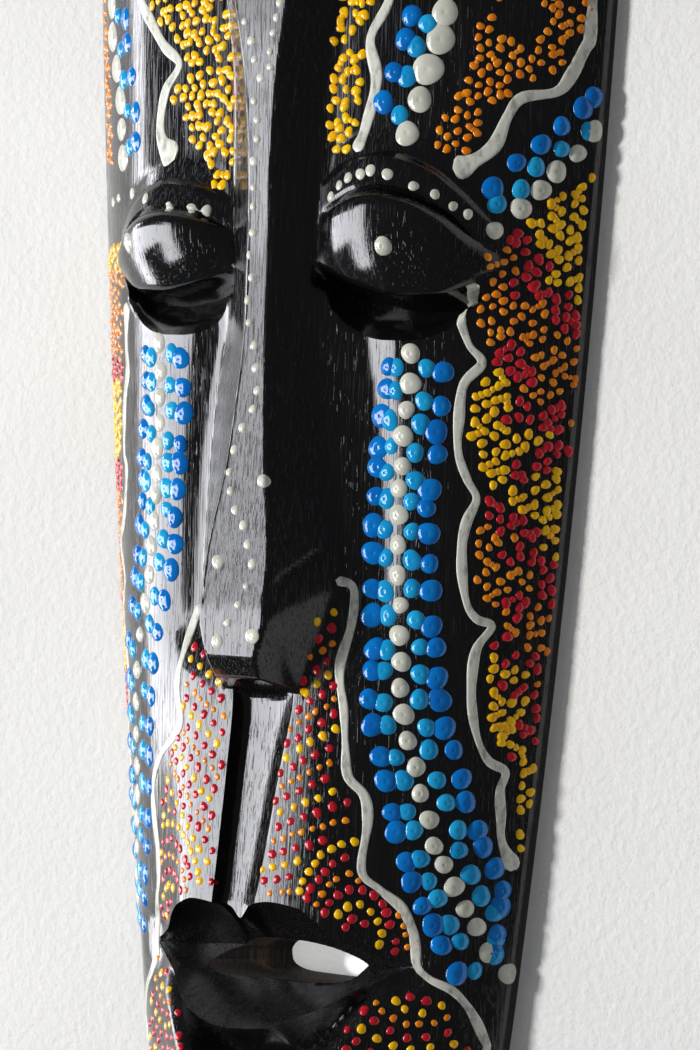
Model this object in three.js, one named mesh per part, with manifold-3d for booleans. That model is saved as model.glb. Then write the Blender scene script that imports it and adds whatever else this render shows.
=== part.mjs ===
// A long painted wooden wall mask, carved from one piece and hollow behind.
// Millimetres, Z up. It lies on its flat back rim with the face up and the forehead toward +Y.
import * as THREE from "three";
import Module from "manifold-3d";

// Overall sizes
const TOP_END = 250;
const CHIN_END = -250;
const RIM_WALL = 4;
const VAULT_HEIGHT = 36;
const VAULT_POWER = 3.2;
const TOP_ROUND_START = 120;
const CHIN_ROUND_START = -150;
const END_TIP = 0.9985;

// Hollow behind the face
const HOLLOW_RIM = 11;
const HOLLOW_TOP = 214;
const HOLLOW_BOTTOM = -212;
const HOLLOW_DEPTH = [[-212, 8], [-144, 13], [-90, 19], [-40, 20.5], [120, 20.5], [214, 12]];

// Nose: ridge height, half width of the flat ridge, and half width of the base, by place along the face
const RIDGE_HEIGHT = [[-62, 54.6], [-50, 54.2], [-30, 51.6], [0, 48.2], [30, 46], [50, 45.4], [90, 46.4],
  [118, 47.4], [150, 46.2], [175, 42.6], [196, 36.6], [212, 30], [230, 19], [250, 0]];
const RIDGE_HALF = [[-62, 10.3], [-36, 10], [-6, 6], [36, 3.4], [62, 3.4], [90, 4.8], [118, 9], [150, 15.5],
  [190, 24], [250, 32]];
const NOSE_BASE_HALF = [[-75, 25], [-42, 24], [-6, 22.5], [30, 18], [50, 16], [88, 15.4], [118, 19], [150, 26],
  [190, 35], [250, 44]];
const WING_EDGE = [[6, -57], [8, -55], [10.4, -51], [14, -46.4], [17, -44], [22, -40], [26, -38]];
const WING_FALL = [[8, 0.9], [12, 0.62], [17, 0.6]];
const BEVEL_START = -59.6;
const BEVEL_FALL = 0.62;
const UNDERSIDE_START = -65.6;
const UNDERSIDE_FALL = 3.4;
const NOSTRIL_CUT = [[9.6, -44.6], [12.6, -38.2], [18.4, -31]];
const NOSTRIL_CUT_DEPTH = 1.2;
const NOSTRIL_CUT_WIDTH = 1.3;
const NOSE_BLEND = 2.4;
const VALLEY_DEPTH = 3;
const VALLEY_REACH = 8;
const VALLEY_ASIDE = 7;

// Eyes: curves across the eye by distance from the middle line
const BROW_GROOVE = [[13, 66.5], [17.5, 70], [25, 74], [34.7, 75.4], [45, 72], [52.5, 65.8], [58.8, 58.4], [63, 54]];
const LID_GROOVE = [[13, 57.5], [17.5, 60], [27, 64], [34, 65], [42, 63.5], [50, 59], [58, 51], [63, 48]];
const LID_EDGE = [[13, 46], [17, 44], [28, 39.5], [37, 37.7], [48, 38.2], [55, 41.5], [60, 44], [63, 43.5]];
const SOCKET_RIM = [[12.4, 43], [15.4, 39], [17, 34.8], [20, 30.9], [25.5, 27.8], [32, 26.8], [38, 26.8], [43, 27.4],
  [48, 29.3], [52.5, 32.8], [56, 37.5], [63, 40]];
const LID_LEVEL = 38;
const LEFT_EYE_SCALE = 0.8;
const EYE_CENTRE = 37.6;
const EYE_HALF = 24;
const EYE_RISE = 10.6;
const LID_DROP = 0.56;
const LID_STEPS = [1, 0.8, 0.6, 0.4, 0.2, 0];
const SOCKET_CENTRE = 34.5;
const SOCKET_HALF = 22;
const SOCKET_DEPTH = 10;

// Mouth and the ground around it
const MUZZLE_RISE = [[-125, 6.6], [-100, 4.6], [-73, 2.4], [-55, 0]];
const PHILTRUM_CENTRE = [[-175, 0], [-131, -5.2], [-122, -4], [-90, -1], [-73, 0.5], [-58, 0]];
const PHILTRUM_HALF = [[-175, 12], [-131, 6.6], [-122, 7.2], [-90, 8.6], [-73, 9.7], [-62, 10.3]];
const PHILTRUM_DEPTH = [[-131, 4.5], [-122, 4.8], [-105, 4.8], [-78, 4.8], [-66, 3]];
const PHILTRUM_LOWEST = -0.62;
const PHILTRUM_POWER = 3;
const UPPER_LIP = [[-41.1, -141.6], [-35.1, -137.8], [-29.9, -133.4], [-24.6, -129.2], [-17.7, -127], [-12, -127.5],
  [-8, -129], [-5, -131.6], [-1.6, -128], [7, -125.9], [15.8, -126.9], [20.7, -130.2], [24.6, -133.4],
  [28.4, -136.2], [33.6, -139.2], [38.8, -141.2], [41, -141.8]];
const MOUTH_LINE = [[-41, -142.2], [-30, -142.4], [-15, -141.4], [6, -143.2], [20, -143.8], [30, -143], [41, -142.2]];
const LOWER_LIP = [[-41.1, -142.8], [-35, -145.6], [-29.8, -149], [-23.2, -155.3], [-15.4, -158.7], [-4.6, -160.6],
  [7.9, -159.6], [18.3, -155.4], [27.3, -150.3], [31.6, -147], [36.9, -144], [41, -142.8]];
const LOWER_LIP_HEIGHT = [[-41, 23.5], [-35, 29], [-29.8, 33], [-23.2, 38.5], [-15.4, 42.4], [-4.6, 45.2], [7.9, 45],
  [18.3, 42], [27.3, 36.4], [31.6, 32], [36.9, 26.5], [41, 23.5]];
const MOUTH_FLOOR = 21.5;
const MOUTH_HALF = 41;
const CHIN_HOLLOW_HEIGHT = 28;
const CHIN_HOLLOW_Y = -168;
const CHIN_BOSS = 3.5;
const CHIN_BLEND = 2.6;

// Mouth hole: a slot through the wood whose left wall slants
const HOLE_FRONT_Z = 34;
const HOLE_BACK_Z = 4;
const HOLE_RIGHT = 26;
const HOLE_LEFT_AT_FLOOR = -15;
const HOLE_LEFT_SLANT = 1.05;
const HOLE_MIDDLE_Y = -143.1;
const HOLE_HALF_HEIGHT = 5.3;
const HOLE_TIP_DROP = 1.2;
const HOLE_BLUNTNESS = 0.7;
const HOLE_SIDES = 16;

// Faceting
const COLUMN_STEPS = [4, 5, 8, 4];
const HOLLOW_COLUMNS = 18;
const HOLLOW_ROWS = 34;

const wasm = await Module();
wasm.setup();

const clamp = (value, low, high) => Math.min(Math.max(value, low), high);
const mix = (a, b, t) => a + (b - a) * t;

function smoothstep(low, high, value) {
  const t = clamp((value - low) / (high - low), 0, 1);
  return t * t * (3 - 2 * t);
}

function table(points, at) {
  if (at <= points[0][0]) return points[0][1];
  for (let i = 1; i < points.length; i++) {
    const [x1, y1] = points[i];
    const [x0, y0] = points[i - 1];
    if (at <= x1) return mix(y0, y1, (at - x0) / (x1 - x0));
  }
  return points[points.length - 1][1];
}

function smoothMin(a, b, k) {
  const h = clamp(0.5 + (0.5 * (b - a)) / k, 0, 1);
  return mix(b, a, h) - k * h * (1 - h);
}

const smoothMax = (a, b, k) => -smoothMin(-a, -b, k);

// Outline of the mask seen from the front
function halfWidth(y) {
  const d = TOP_ROUND_START - y;
  const side = 82.2 - 0.05 * d - 0.00012 * d * d;
  const top = clamp((y - TOP_ROUND_START) / (TOP_END - TOP_ROUND_START), 0, END_TIP);
  const chin = clamp((CHIN_ROUND_START - y) / (CHIN_ROUND_START - CHIN_END), 0, END_TIP);
  return side * Math.pow(1 - Math.pow(top, 2.6), 0.45) * Math.pow(1 - Math.pow(chin, 2.8), 0.5);
}

// The plain vault of the face, before any feature
function vault(x, y) {
  const u = clamp(Math.abs(x) / halfWidth(y), 0, 1);
  const top = clamp((y - 130) / (TOP_END - 130), 0, 1);
  const chin = clamp((-165 - y) / (-165 - CHIN_END), 0, 1);
  const ends = Math.pow(1 - Math.pow(top, 2.8), 0.7) * Math.pow(1 - Math.pow(chin, 2.8), 0.7);
  return RIM_WALL + (VAULT_HEIGHT - RIM_WALL) * (1 - Math.pow(u, VAULT_POWER)) * ends;
}

// Distance from a point to a line of points
function distanceToLine(points, x, y) {
  let best = Infinity;
  for (let i = 1; i < points.length; i++) {
    const [x0, y0] = points[i - 1];
    const [x1, y1] = points[i];
    const t = clamp(((x - x0) * (x1 - x0) + (y - y0) * (y1 - y0)) / ((x1 - x0) ** 2 + (y1 - y0) ** 2), 0, 1);
    best = Math.min(best, Math.hypot(x - mix(x0, x1, t), y - mix(y0, y1, t)));
  }
  return best;
}

// A shallow valley follows the nose down each cheek, further from its foot on the right
const valleyDepth = (y) => VALLEY_DEPTH * smoothstep(44, 24, y) * smoothstep(-68, -46, y);

// The nose is a wedge with a flat ridge, two flanks, two cut-back wings, a bevelled tip and an underside
function nose(x, y) {
  const a = Math.abs(x);
  const ridge = table(RIDGE_HEIGHT, y);
  const half = table(RIDGE_HALF, y);
  const foot = table(NOSE_BASE_HALF, y);
  const footHeight = vault(foot, y) - 1 - valleyDepth(y);
  const flank = ridge - ((a - half) * (ridge - footHeight)) / (foot - half);
  const wing = flank - table(WING_FALL, a) * Math.max(0, table(WING_EDGE, a) - y);
  const bevel = ridge - BEVEL_FALL * (BEVEL_START - y);
  const underside = ridge - BEVEL_FALL * (BEVEL_START - UNDERSIDE_START) - UNDERSIDE_FALL * (UNDERSIDE_START - y);
  const body = smoothMin(smoothMin(ridge, Math.min(flank, wing), 0.8), smoothMin(bevel, underside, 0.6), 0.8);
  const cut = smoothstep(NOSTRIL_CUT_WIDTH, 0, distanceToLine(NOSTRIL_CUT, a, y));
  return body - NOSTRIL_CUT_DEPTH * cut * smoothstep(8, 15, a);
}

// The left eye is carved a little lower than the right one
const eyeScale = (x) => mix(LEFT_EYE_SCALE, 1, clamp((x + 14) / 28, 0, 1));

function eyeCurve(points, x) {
  const y = table(points, Math.abs(x));
  return y > LID_LEVEL ? LID_LEVEL + (y - LID_LEVEL) * eyeScale(x) : y;
}

// Relief of brow band, lid and socket, added to the vault
function eye(x, y) {
  const a = Math.abs(x);
  const bulge = Math.pow(Math.max(0, 1 - ((a - EYE_CENTRE) / EYE_HALF) ** 2), 0.7);
  const depth = Math.pow(Math.max(0, 1 - ((a - SOCKET_CENTRE) / SOCKET_HALF) ** 2), 0.35);
  const brow = eyeCurve(BROW_GROOVE, x);
  const groove = eyeCurve(LID_GROOVE, x);
  const lid = eyeCurve(LID_EDGE, x);
  const rim = Math.min(table(SOCKET_RIM, a), lid - 6.5);
  const profile = [
    [rim - 1.5, 0],
    [rim + 1, -0.3 * SOCKET_DEPTH * depth],
    [mix(rim, lid - 4.6, 0.5), -0.7 * SOCKET_DEPTH * depth],
    [lid - 4.6, -SOCKET_DEPTH * depth],
    ...LID_STEPS.map((t) => [mix(groove - 3, lid, t), (1 - LID_DROP * t * t) * EYE_RISE * bulge]),
    [groove - 1.4, 0.86 * EYE_RISE * bulge],
    [groove, 0.5 * EYE_RISE * bulge],
    [groove + 1.4, 0.62 * EYE_RISE * bulge],
    [brow - 1.6, 0.48 * EYE_RISE * bulge],
    [brow, 0.14 * EYE_RISE * bulge],
    [brow + 1.6, 0.1 * EYE_RISE * bulge],
    [brow + 6, 0],
  ];
  return table(profile, y);
}

// The raised ground between nose and mouth, with the groove down its middle
function muzzle(x, y) {
  const ground = vault(x, y) + table(MUZZLE_RISE, y) * (1 - smoothstep(17, 40, Math.abs(x)));
  const middle = table(NOSE_BASE_HALF, y) + (x > 0 ? VALLEY_ASIDE : 0);
  const beside = (Math.abs(x) - middle) / VALLEY_REACH;
  const valley = valleyDepth(y) * Math.exp(-beside * beside);
  const aside = (x - table(PHILTRUM_CENTRE, y)) / table(PHILTRUM_HALF, y) - PHILTRUM_LOWEST;
  const across = aside / (aside < 0 ? 1 + PHILTRUM_LOWEST : 1 - PHILTRUM_LOWEST);
  const groove = y > -60 ? 0 : table(PHILTRUM_DEPTH, y) * Math.max(0, 1 - Math.abs(across) ** PHILTRUM_POWER);
  return ground - valley - groove;
}

// Lips: both slope down into a mouth line between them
function mouth(x, y, ground) {
  if (Math.abs(x) >= MOUTH_HALF) return ground;
  const upper = table(UPPER_LIP, x);
  const middle = table(MOUTH_LINE, x);
  const lower = table(LOWER_LIP, x);
  const ends = smoothstep(MOUTH_HALF, 26, Math.abs(x));
  const floor = mix(23.5, MOUTH_FLOOR, ends);
  const lip = table(LOWER_LIP_HEIGHT, x);
  if (y >= upper) return ground;
  if (y >= middle) return mix(ground, floor, Math.pow((upper - y) / (upper - middle), 0.62));
  if (y >= lower) return mix(floor, lip, Math.pow((middle - y) / (middle - lower), 0.85));
  return ground;
}

// Under the lower lip a three-sided hollow narrows toward the chin
function chin(x, y, ground) {
  const a = Math.abs(x);
  const lower = a < MOUTH_HALF ? table(LOWER_LIP, x) : -142.8;
  if (y >= lower) return ground;
  const lip = a < MOUTH_HALF ? table(LOWER_LIP_HEIGHT, x) : 0;
  const boss = CHIN_BOSS * smoothstep(-178, -198, y) * smoothstep(238, 205, -y) * (1 - smoothstep(10, 36, a));
  const edge = mix(34, 5, clamp((-148 - y) / 38, 0, 1));
  const hollow = (ground - CHIN_HOLLOW_HEIGHT) * smoothstep(edge + 6, edge - 9, a) * smoothstep(-194, -174, y);
  const surface = ground + boss - Math.max(0, hollow);
  const fall = lip - 1.9 * (lower - y);
  return a < MOUTH_HALF ? smoothMax(surface, fall, CHIN_BLEND) : surface;
}

function face(x, y) {
  let height = muzzle(x, y);
  if (y > -80) height = smoothMax(height, nose(x, y), NOSE_BLEND);
  if (y > 15 && y < 90) height += eye(x, y);
  if (y < -120) {
    const corner = smoothstep(52, 38, Math.abs(x)) * smoothstep(24, 38, Math.abs(x));
    const near = corner * smoothstep(14, 3, Math.abs(y + 142));
    height -= 3.6 * near;
    height = mouth(x, y, height);
    height = chin(x, y, height);
  }
  return Math.max(height, RIM_WALL);
}

// Grid lines that run along the carved edges
function columnAt(side, index, y) {
  const centre = table(PHILTRUM_CENTRE, y);
  const philtrum = table(PHILTRUM_HALF, y);
  const width = halfWidth(y);
  const squeeze = Math.min(1, width / 60);
  const ridge = y < -62 ? philtrum : table(RIDGE_HALF, y);
  const anchors = [
    centre * squeeze,
    centre * squeeze + side * ridge * squeeze,
    side * Math.min(table(NOSE_BASE_HALF, y), 40) * squeeze,
    side * 0.79 * width,
    side * width,
  ];
  let step = index;
  for (let k = 0; k < COLUMN_STEPS.length; k++) {
    if (step <= COLUMN_STEPS[k]) return mix(anchors[k], anchors[k + 1], step / COLUMN_STEPS[k]);
    step -= COLUMN_STEPS[k];
  }
  return side * width;
}

function socketRow(x) {
  return Math.min(table(SOCKET_RIM, Math.abs(x)), eyeCurve(LID_EDGE, x) - 6.5);
}

const ROWS = [
  [() => TOP_END, 0],
  [() => 247.5, 1],
  [() => 235, 2],
  [() => 205, 3],
  [(x) => eyeCurve(BROW_GROOVE, x) + 6, 9],
  [(x) => eyeCurve(BROW_GROOVE, x) + 1.6, 1],
  [(x) => eyeCurve(BROW_GROOVE, x), 1],
  [(x) => eyeCurve(BROW_GROOVE, x) - 1.6, 1],
  [(x) => eyeCurve(LID_GROOVE, x) + 1.4, 1],
  [(x) => eyeCurve(LID_GROOVE, x), 1],
  [(x) => eyeCurve(LID_GROOVE, x) - 1.4, 1],
  [(x) => eyeCurve(LID_EDGE, x), 4],
  [(x) => eyeCurve(LID_EDGE, x) - 4.6, 1],
  [(x) => socketRow(x) + 1, 2],
  [(x) => socketRow(x) - 1.5, 1],
  [() => -30, 6],
  [() => -57, 7],
  [() => BEVEL_START, 1],
  [() => UNDERSIDE_START, 1],
  [() => -70, 2],
  [(x) => (Math.abs(x) < MOUTH_HALF ? table(UPPER_LIP, x) : -141.8), 7],
  [(x) => (Math.abs(x) < MOUTH_HALF ? table(MOUTH_LINE, x) : -142.3), 4],
  [(x) => (Math.abs(x) < MOUTH_HALF ? table(LOWER_LIP, x) : -142.8), 3],
  [(x) => Math.min(-152, table(LOWER_LIP, x) - 8.5), 3],
  [() => CHIN_HOLLOW_Y - 22, 4],
  [() => -235, 5],
  [() => -247.5, 2],
  [() => CHIN_END, 1],
];

function rowCurves() {
  const curves = [ROWS[0][0]];
  for (let k = 1; k < ROWS.length; k++) {
    const [curve, steps] = ROWS[k];
    const before = ROWS[k - 1][0];
    for (let s = 1; s <= steps; s++) {
      curves.push((x) => mix(before(x), curve(x), s / steps));
    }
  }
  return curves;
}

// One grid of points whose columns and rows follow the carving
function faceGrid() {
  const total = COLUMN_STEPS.reduce((sum, n) => sum + n, 0);
  return rowCurves().map((curve) => {
    const row = [];
    for (let c = -total; c <= total; c++) {
      const side = c < 0 ? -1 : 1;
      let y = curve(columnAt(side, Math.abs(c), curve(0)));
      let x = columnAt(side, Math.abs(c), y);
      for (let pass = 0; pass < 6; pass++) {
        y = mix(y, curve(x), 0.7);
        x = columnAt(side, Math.abs(c), y);
      }
      row.push([x, y, Math.abs(c) === total ? RIM_WALL : face(x, y)]);
    }
    return row;
  });
}

// A closed solid between an upper grid of points and a flat level below it
function solidOverGrid(grid, level) {
  const rows = grid.length;
  const columns = grid[0].length;
  const vertices = grid.flat();
  const triangles = [];
  const id = (r, c) => r * columns + c;
  const quad = (a, b, c, d) => {
    const [p, q, s, t] = [a, b, c, d].map((i) => vertices[i]);
    const first = Math.hypot(p[0] - s[0], p[1] - s[1], p[2] - s[2]);
    const second = Math.hypot(q[0] - t[0], q[1] - t[1], q[2] - t[2]);
    if (first <= second) triangles.push([a, b, c], [a, c, d]);
    else triangles.push([a, b, d], [b, c, d]);
  };
  for (let r = 0; r + 1 < rows; r++) {
    for (let c = 0; c + 1 < columns; c++) quad(id(r, c), id(r + 1, c), id(r + 1, c + 1), id(r, c + 1));
  }
  const loop = [];
  for (let c = 0; c < columns; c++) loop.push(id(0, c));
  for (let r = 1; r < rows; r++) loop.push(id(r, columns - 1));
  for (let c = columns - 2; c >= 0; c--) loop.push(id(rows - 1, c));
  for (let r = rows - 2; r > 0; r--) loop.push(id(r, 0));
  const low = loop.map((i) => vertices.push([vertices[i][0], vertices[i][1], level]) - 1);
  loop.forEach((top, i) => {
    const next = (i + 1) % loop.length;
    triangles.push([top, loop[next], low[next]], [top, low[next], low[i]]);
  });
  const middle = vertices.push([0, 0, level]) - 1;
  low.forEach((a, i) => triangles.push([a, low[(i + 1) % low.length], middle]));
  return makeManifold(vertices, triangles);
}

function makeManifold(vertices, triangles) {
  const mesh = new wasm.Mesh({
    numProp: 3,
    vertProperties: new Float32Array(vertices.flat()),
    triVerts: new Uint32Array(triangles.flat()),
  });
  const solid = new wasm.Manifold(mesh);
  return solid.volume() < 0 ? new wasm.Manifold(flipped(vertices, triangles)) : solid;
}

function flipped(vertices, triangles) {
  return new wasm.Mesh({
    numProp: 3,
    vertProperties: new Float32Array(vertices.flat()),
    triVerts: new Uint32Array(triangles.map(([a, b, c]) => [a, c, b]).flat()),
  });
}

// Height of the hollow's ceiling, nothing at its rim
function hollowCeiling(u, v, y) {
  const across = Math.pow(Math.max(0, 1 - Math.pow(Math.abs(u), 3)), 0.6);
  const along = Math.pow(Math.max(0, 1 - Math.pow(Math.abs(v), 6)), 0.6);
  return table(HOLLOW_DEPTH, y) * across * along;
}

function hollowGrid() {
  const grid = [];
  for (let r = 0; r <= HOLLOW_ROWS; r++) {
    const v = Math.sin((0.5 - r / HOLLOW_ROWS) * Math.PI);
    const y = mix(HOLLOW_BOTTOM, HOLLOW_TOP, (v + 1) / 2);
    const inset = Math.max(halfWidth(y) - HOLLOW_RIM, 8);
    const round = Math.pow(1 - Math.pow(Math.abs(v) * 0.998, 7), 0.4);
    const row = [];
    for (let c = 0; c <= HOLLOW_COLUMNS; c++) {
      const u = Math.sin((c / HOLLOW_COLUMNS - 0.5) * Math.PI);
      row.push([u * inset * round, y, Math.max(0, hollowCeiling(u, v, y))]);
    }
    grid.push(row);
  }
  return grid;
}

// The mouth hole as a lens-shaped plug, wider in front than behind
function mouthPlug() {
  const vertices = [];
  const triangles = [];
  for (const z of [HOLE_BACK_Z, HOLE_FRONT_Z]) {
    const left = HOLE_LEFT_AT_FLOOR + (MOUTH_FLOOR - z) * HOLE_LEFT_SLANT;
    for (let i = 0; i < HOLE_SIDES; i++) {
      const angle = (i / HOLE_SIDES) * 2 * Math.PI;
      const along = Math.cos(angle);
      const across = Math.sign(Math.sin(angle)) * Math.pow(Math.abs(Math.sin(angle)), HOLE_BLUNTNESS);
      const x = mix(left, HOLE_RIGHT, (along + 1) / 2);
      vertices.push([x, HOLE_MIDDLE_Y - HOLE_TIP_DROP * along * along + HOLE_HALF_HEIGHT * across, z]);
    }
  }
  for (let i = 0; i < HOLE_SIDES; i++) {
    const next = (i + 1) % HOLE_SIDES;
    triangles.push([i, next, HOLE_SIDES + next], [i, HOLE_SIDES + next, HOLE_SIDES + i]);
  }
  for (const [first, z] of [[0, HOLE_BACK_Z], [HOLE_SIDES, HOLE_FRONT_Z]]) {
    const middle = vertices.push([HOLE_RIGHT / 2, HOLE_MIDDLE_Y, z]) - 1;
    for (let i = 0; i < HOLE_SIDES; i++) {
      const edge = [first + i, first + ((i + 1) % HOLE_SIDES)];
      triangles.push(first ? [...edge, middle] : [edge[1], edge[0], middle]);
    }
  }
  return makeManifold(vertices, triangles);
}

function toGeometry(solid) {
  const { vertProperties, triVerts } = solid.getMesh();
  const geometry = new THREE.BufferGeometry();
  geometry.setAttribute("position", new THREE.BufferAttribute(new Float32Array(vertProperties), 3));
  geometry.setIndex(new THREE.BufferAttribute(new Uint32Array(triVerts), 1));
  geometry.computeVertexNormals();
  return geometry;
}

const blank = solidOverGrid(faceGrid(), 0);
const hollow = solidOverGrid(hollowGrid(), -2);
const carved = blank.subtract(hollow).subtract(mouthPlug());

const paintedWood = new THREE.MeshStandardMaterial({ name: "black_paint", color: 0x141416, roughness: 0.3 });
const mask = new THREE.Mesh(toGeometry(carved), paintedWood);
mask.name = "mask";

const part = new THREE.Group();
part.add(mask);

export default part;
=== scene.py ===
"""Looks for a long carved and painted wooden wall mask that lies face up on its back rim."""
import math

import bmesh
import bpy
import numpy as np
from mathutils import Matrix, Vector


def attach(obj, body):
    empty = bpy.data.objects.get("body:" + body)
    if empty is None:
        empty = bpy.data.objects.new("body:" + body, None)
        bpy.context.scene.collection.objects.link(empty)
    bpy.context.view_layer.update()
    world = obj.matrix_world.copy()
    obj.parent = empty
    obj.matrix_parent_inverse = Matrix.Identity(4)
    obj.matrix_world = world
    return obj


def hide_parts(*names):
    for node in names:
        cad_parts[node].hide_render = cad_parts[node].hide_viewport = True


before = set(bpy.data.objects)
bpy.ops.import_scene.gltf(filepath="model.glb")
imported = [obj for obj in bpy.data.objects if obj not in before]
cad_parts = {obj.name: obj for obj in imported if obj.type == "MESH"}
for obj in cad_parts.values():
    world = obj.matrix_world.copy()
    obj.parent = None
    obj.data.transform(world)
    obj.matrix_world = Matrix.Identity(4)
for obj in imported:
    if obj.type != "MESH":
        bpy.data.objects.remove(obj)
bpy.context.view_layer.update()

MM = 0.001

# Camera: where it stands, in metres, and how it is turned
CAMERA_PLACE = (0.65956, 0.02383, 1.05118)
CAMERA_LOOK = (-0.529495, -0.039994, -0.847370)
CAMERA_UP = (-0.043909, 0.998841, -0.019706)
CAMERA_LENS = 154.3
CAMERA_SENSOR = 36.0

# Room: radiance 1 shows as white
FLOOR_SIZE = 6.0
ROOM_LIGHT = 0.1
ROOM_COLOUR = (0.9, 0.93, 1, 1)
PANEL_DISTANCE = 1.3
PANEL_LIGHT = 12.0
PANEL_COLOUR = (0.94, 0.945, 1.0)
LAMP_COLOUR = (1.0, 0.99, 0.97)
# Panels of the window that the gloss mirrors: angles from straight up over to the left in degrees,
# places along the mask in metres, and strength
PANELS = [
    (27, 37, -0.80, -0.05, 1.0),
    (27, 37, -0.05, 0.10, 1.0),
    (27, 37, 0.10, 0.32, 0.7),
    (37, 46, -0.80, 0.06, 1.0),
    (46, 76, -0.36, 0.06, 1.0),
    (76, 94, -0.80, 0.06, 1.0),
    (81, 94, 0.06, 0.38, 1.0),
]
LAMP_AIM = (0, 0, 0.03)
# Lamps that light the paint and aren't mirrored in it: place, aim, size, radiance and colour
LAMPS = {
    "key": ((-1.8, 0.27, 2.16), LAMP_AIM, (0.252, 0.252), 416.0, LAMP_COLOUR),
    "fill": ((-0.9, -0.3, 0.9), LAMP_AIM, (0.9, 1.2), 0.9, LAMP_COLOUR),
    "front fill": ((0.9, -0.2, 1.6), LAMP_AIM, (1.2, 1.2), 0.9, LAMP_COLOUR),
    "behind the mouth": ((0.003, -0.144, 0.0105), (0.003, -0.144, 0.0), (0.05, 0.016), 1.1, (1, 1, 1)),
}

# Carving, in millimetres: the same named sizes as the solid
TOP_END = 250
CHIN_END = -250
RIM_WALL = 4
VAULT_HEIGHT = 36
VAULT_POWER = 3.2
TOP_ROUND_START = 120
CHIN_ROUND_START = -150
END_TIP = 0.9985
SIDE_HALF = 82.2
SIDE_LEAN = 0.05
SIDE_BOW = 0.00012
VAULT_TOP_START = 130
VAULT_CHIN_START = -165
HOLLOW_RIM = 11
HOLLOW_TOP = 214
HOLLOW_BOTTOM = -212
HOLLOW_DEPTH = [(-212, 8), (-144, 13), (-90, 19), (-40, 20.5), (120, 20.5), (214, 12)]
RIDGE_HEIGHT = [
    (-62, 54.6), (-50, 54.2), (-30, 51.6), (0, 48.2), (30, 46), (50, 45.4), (90, 46.4), (118, 47.4),
    (150, 46.2), (175, 42.6), (196, 36.6), (212, 30), (230, 19), (250, 0),
]
RIDGE_HALF = [
    (-62, 10.3), (-36, 10), (-6, 6), (36, 3.4), (62, 3.4), (90, 4.8), (118, 9), (150, 15.5), (190, 24),
    (250, 32),
]
NOSE_BASE_HALF = [
    (-75, 25), (-42, 24), (-6, 22.5), (30, 18), (50, 16), (88, 15.4), (118, 19), (150, 26), (190, 35),
    (250, 44),
]
WING_EDGE = [(6, -57), (8, -55), (10.4, -51), (14, -46.4), (17, -44), (22, -40), (26, -38)]
WING_FALL = [(8, 0.9), (12, 0.62), (17, 0.6)]
BEVEL_START = -59.6
BEVEL_FALL = 0.62
UNDERSIDE_START = -65.6
UNDERSIDE_FALL = 3.4
NOSTRIL_CUT = [(9.6, -44.6), (12.6, -38.2), (18.4, -31)]
NOSTRIL_CUT_DEPTH = 1.2
NOSTRIL_CUT_WIDTH = 1.3
NOSE_BLEND = 2.4
VALLEY_DEPTH = 3
VALLEY_REACH = 8
VALLEY_ASIDE = 7
BROW_GROOVE = [
    (13, 66.5), (17.5, 70), (25, 74), (34.7, 75.4), (45, 72), (52.5, 65.8), (58.8, 58.4), (63, 54),
]
LID_GROOVE = [(13, 57.5), (17.5, 60), (27, 64), (34, 65), (42, 63.5), (50, 59), (58, 51), (63, 48)]
LID_EDGE = [(13, 46), (17, 44), (28, 39.5), (37, 37.7), (48, 38.2), (55, 41.5), (60, 44), (63, 43.5)]
SOCKET_RIM = [
    (12.4, 43), (15.4, 39), (17, 34.8), (20, 30.9), (25.5, 27.8), (32, 26.8), (38, 26.8), (43, 27.4),
    (48, 29.3), (52.5, 32.8), (56, 37.5), (63, 40),
]
LID_LEVEL = 38
LEFT_EYE_SCALE = 0.8
EYE_CENTRE = 37.6
EYE_HALF = 24
EYE_RISE = 10.6
LID_DROP = 0.56
SOCKET_CENTRE = 34.5
SOCKET_HALF = 22
SOCKET_DEPTH = 10
BROW_GROOVE_HALF = 1.6
BROW_FADE = 6
LID_GROOVE_HALF = 1.4
LID_UNDER = 4.6
SOCKET_RIM_OUT = 1.5
SOCKET_RIM_IN = 1
MUZZLE_RISE = [(-125, 6.6), (-100, 4.6), (-73, 2.4), (-55, 0)]
PHILTRUM_CENTRE = [(-175, 0), (-131, -5.2), (-122, -4), (-90, -1), (-73, 0.5), (-58, 0)]
PHILTRUM_HALF = [(-175, 12), (-131, 6.6), (-122, 7.2), (-90, 8.6), (-73, 9.7), (-62, 10.3)]
PHILTRUM_DEPTH = [(-131, 4.5), (-122, 4.8), (-105, 4.8), (-78, 4.8), (-66, 3)]
PHILTRUM_LOWEST = -0.62
PHILTRUM_POWER = 3
PHILTRUM_TOP = -60
UPPER_LIP = [
    (-41.1, -141.6), (-35.1, -137.8), (-29.9, -133.4), (-24.6, -129.2), (-17.7, -127), (-12, -127.5),
    (-8, -129), (-5, -131.6), (-1.6, -128), (7, -125.9), (15.8, -126.9), (20.7, -130.2), (24.6, -133.4),
    (28.4, -136.2), (33.6, -139.2), (38.8, -141.2), (41, -141.8),
]
MOUTH_LINE = [
    (-41, -142.2), (-30, -142.4), (-15, -141.4), (6, -143.2), (20, -143.8), (30, -143), (41, -142.2),
]
LOWER_LIP = [
    (-41.1, -142.8), (-35, -145.6), (-29.8, -149), (-23.2, -155.3), (-15.4, -158.7), (-4.6, -160.6),
    (7.9, -159.6), (18.3, -155.4), (27.3, -150.3), (31.6, -147), (36.9, -144), (41, -142.8),
]
LOWER_LIP_HEIGHT = [
    (-41, 23.5), (-35, 29), (-29.8, 33), (-23.2, 38.5), (-15.4, 42.4), (-4.6, 45.2), (7.9, 45), (18.3, 42),
    (27.3, 36.4), (31.6, 32), (36.9, 26.5), (41, 23.5),
]
MOUTH_FLOOR = 21.5
MOUTH_HALF = 41
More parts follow.
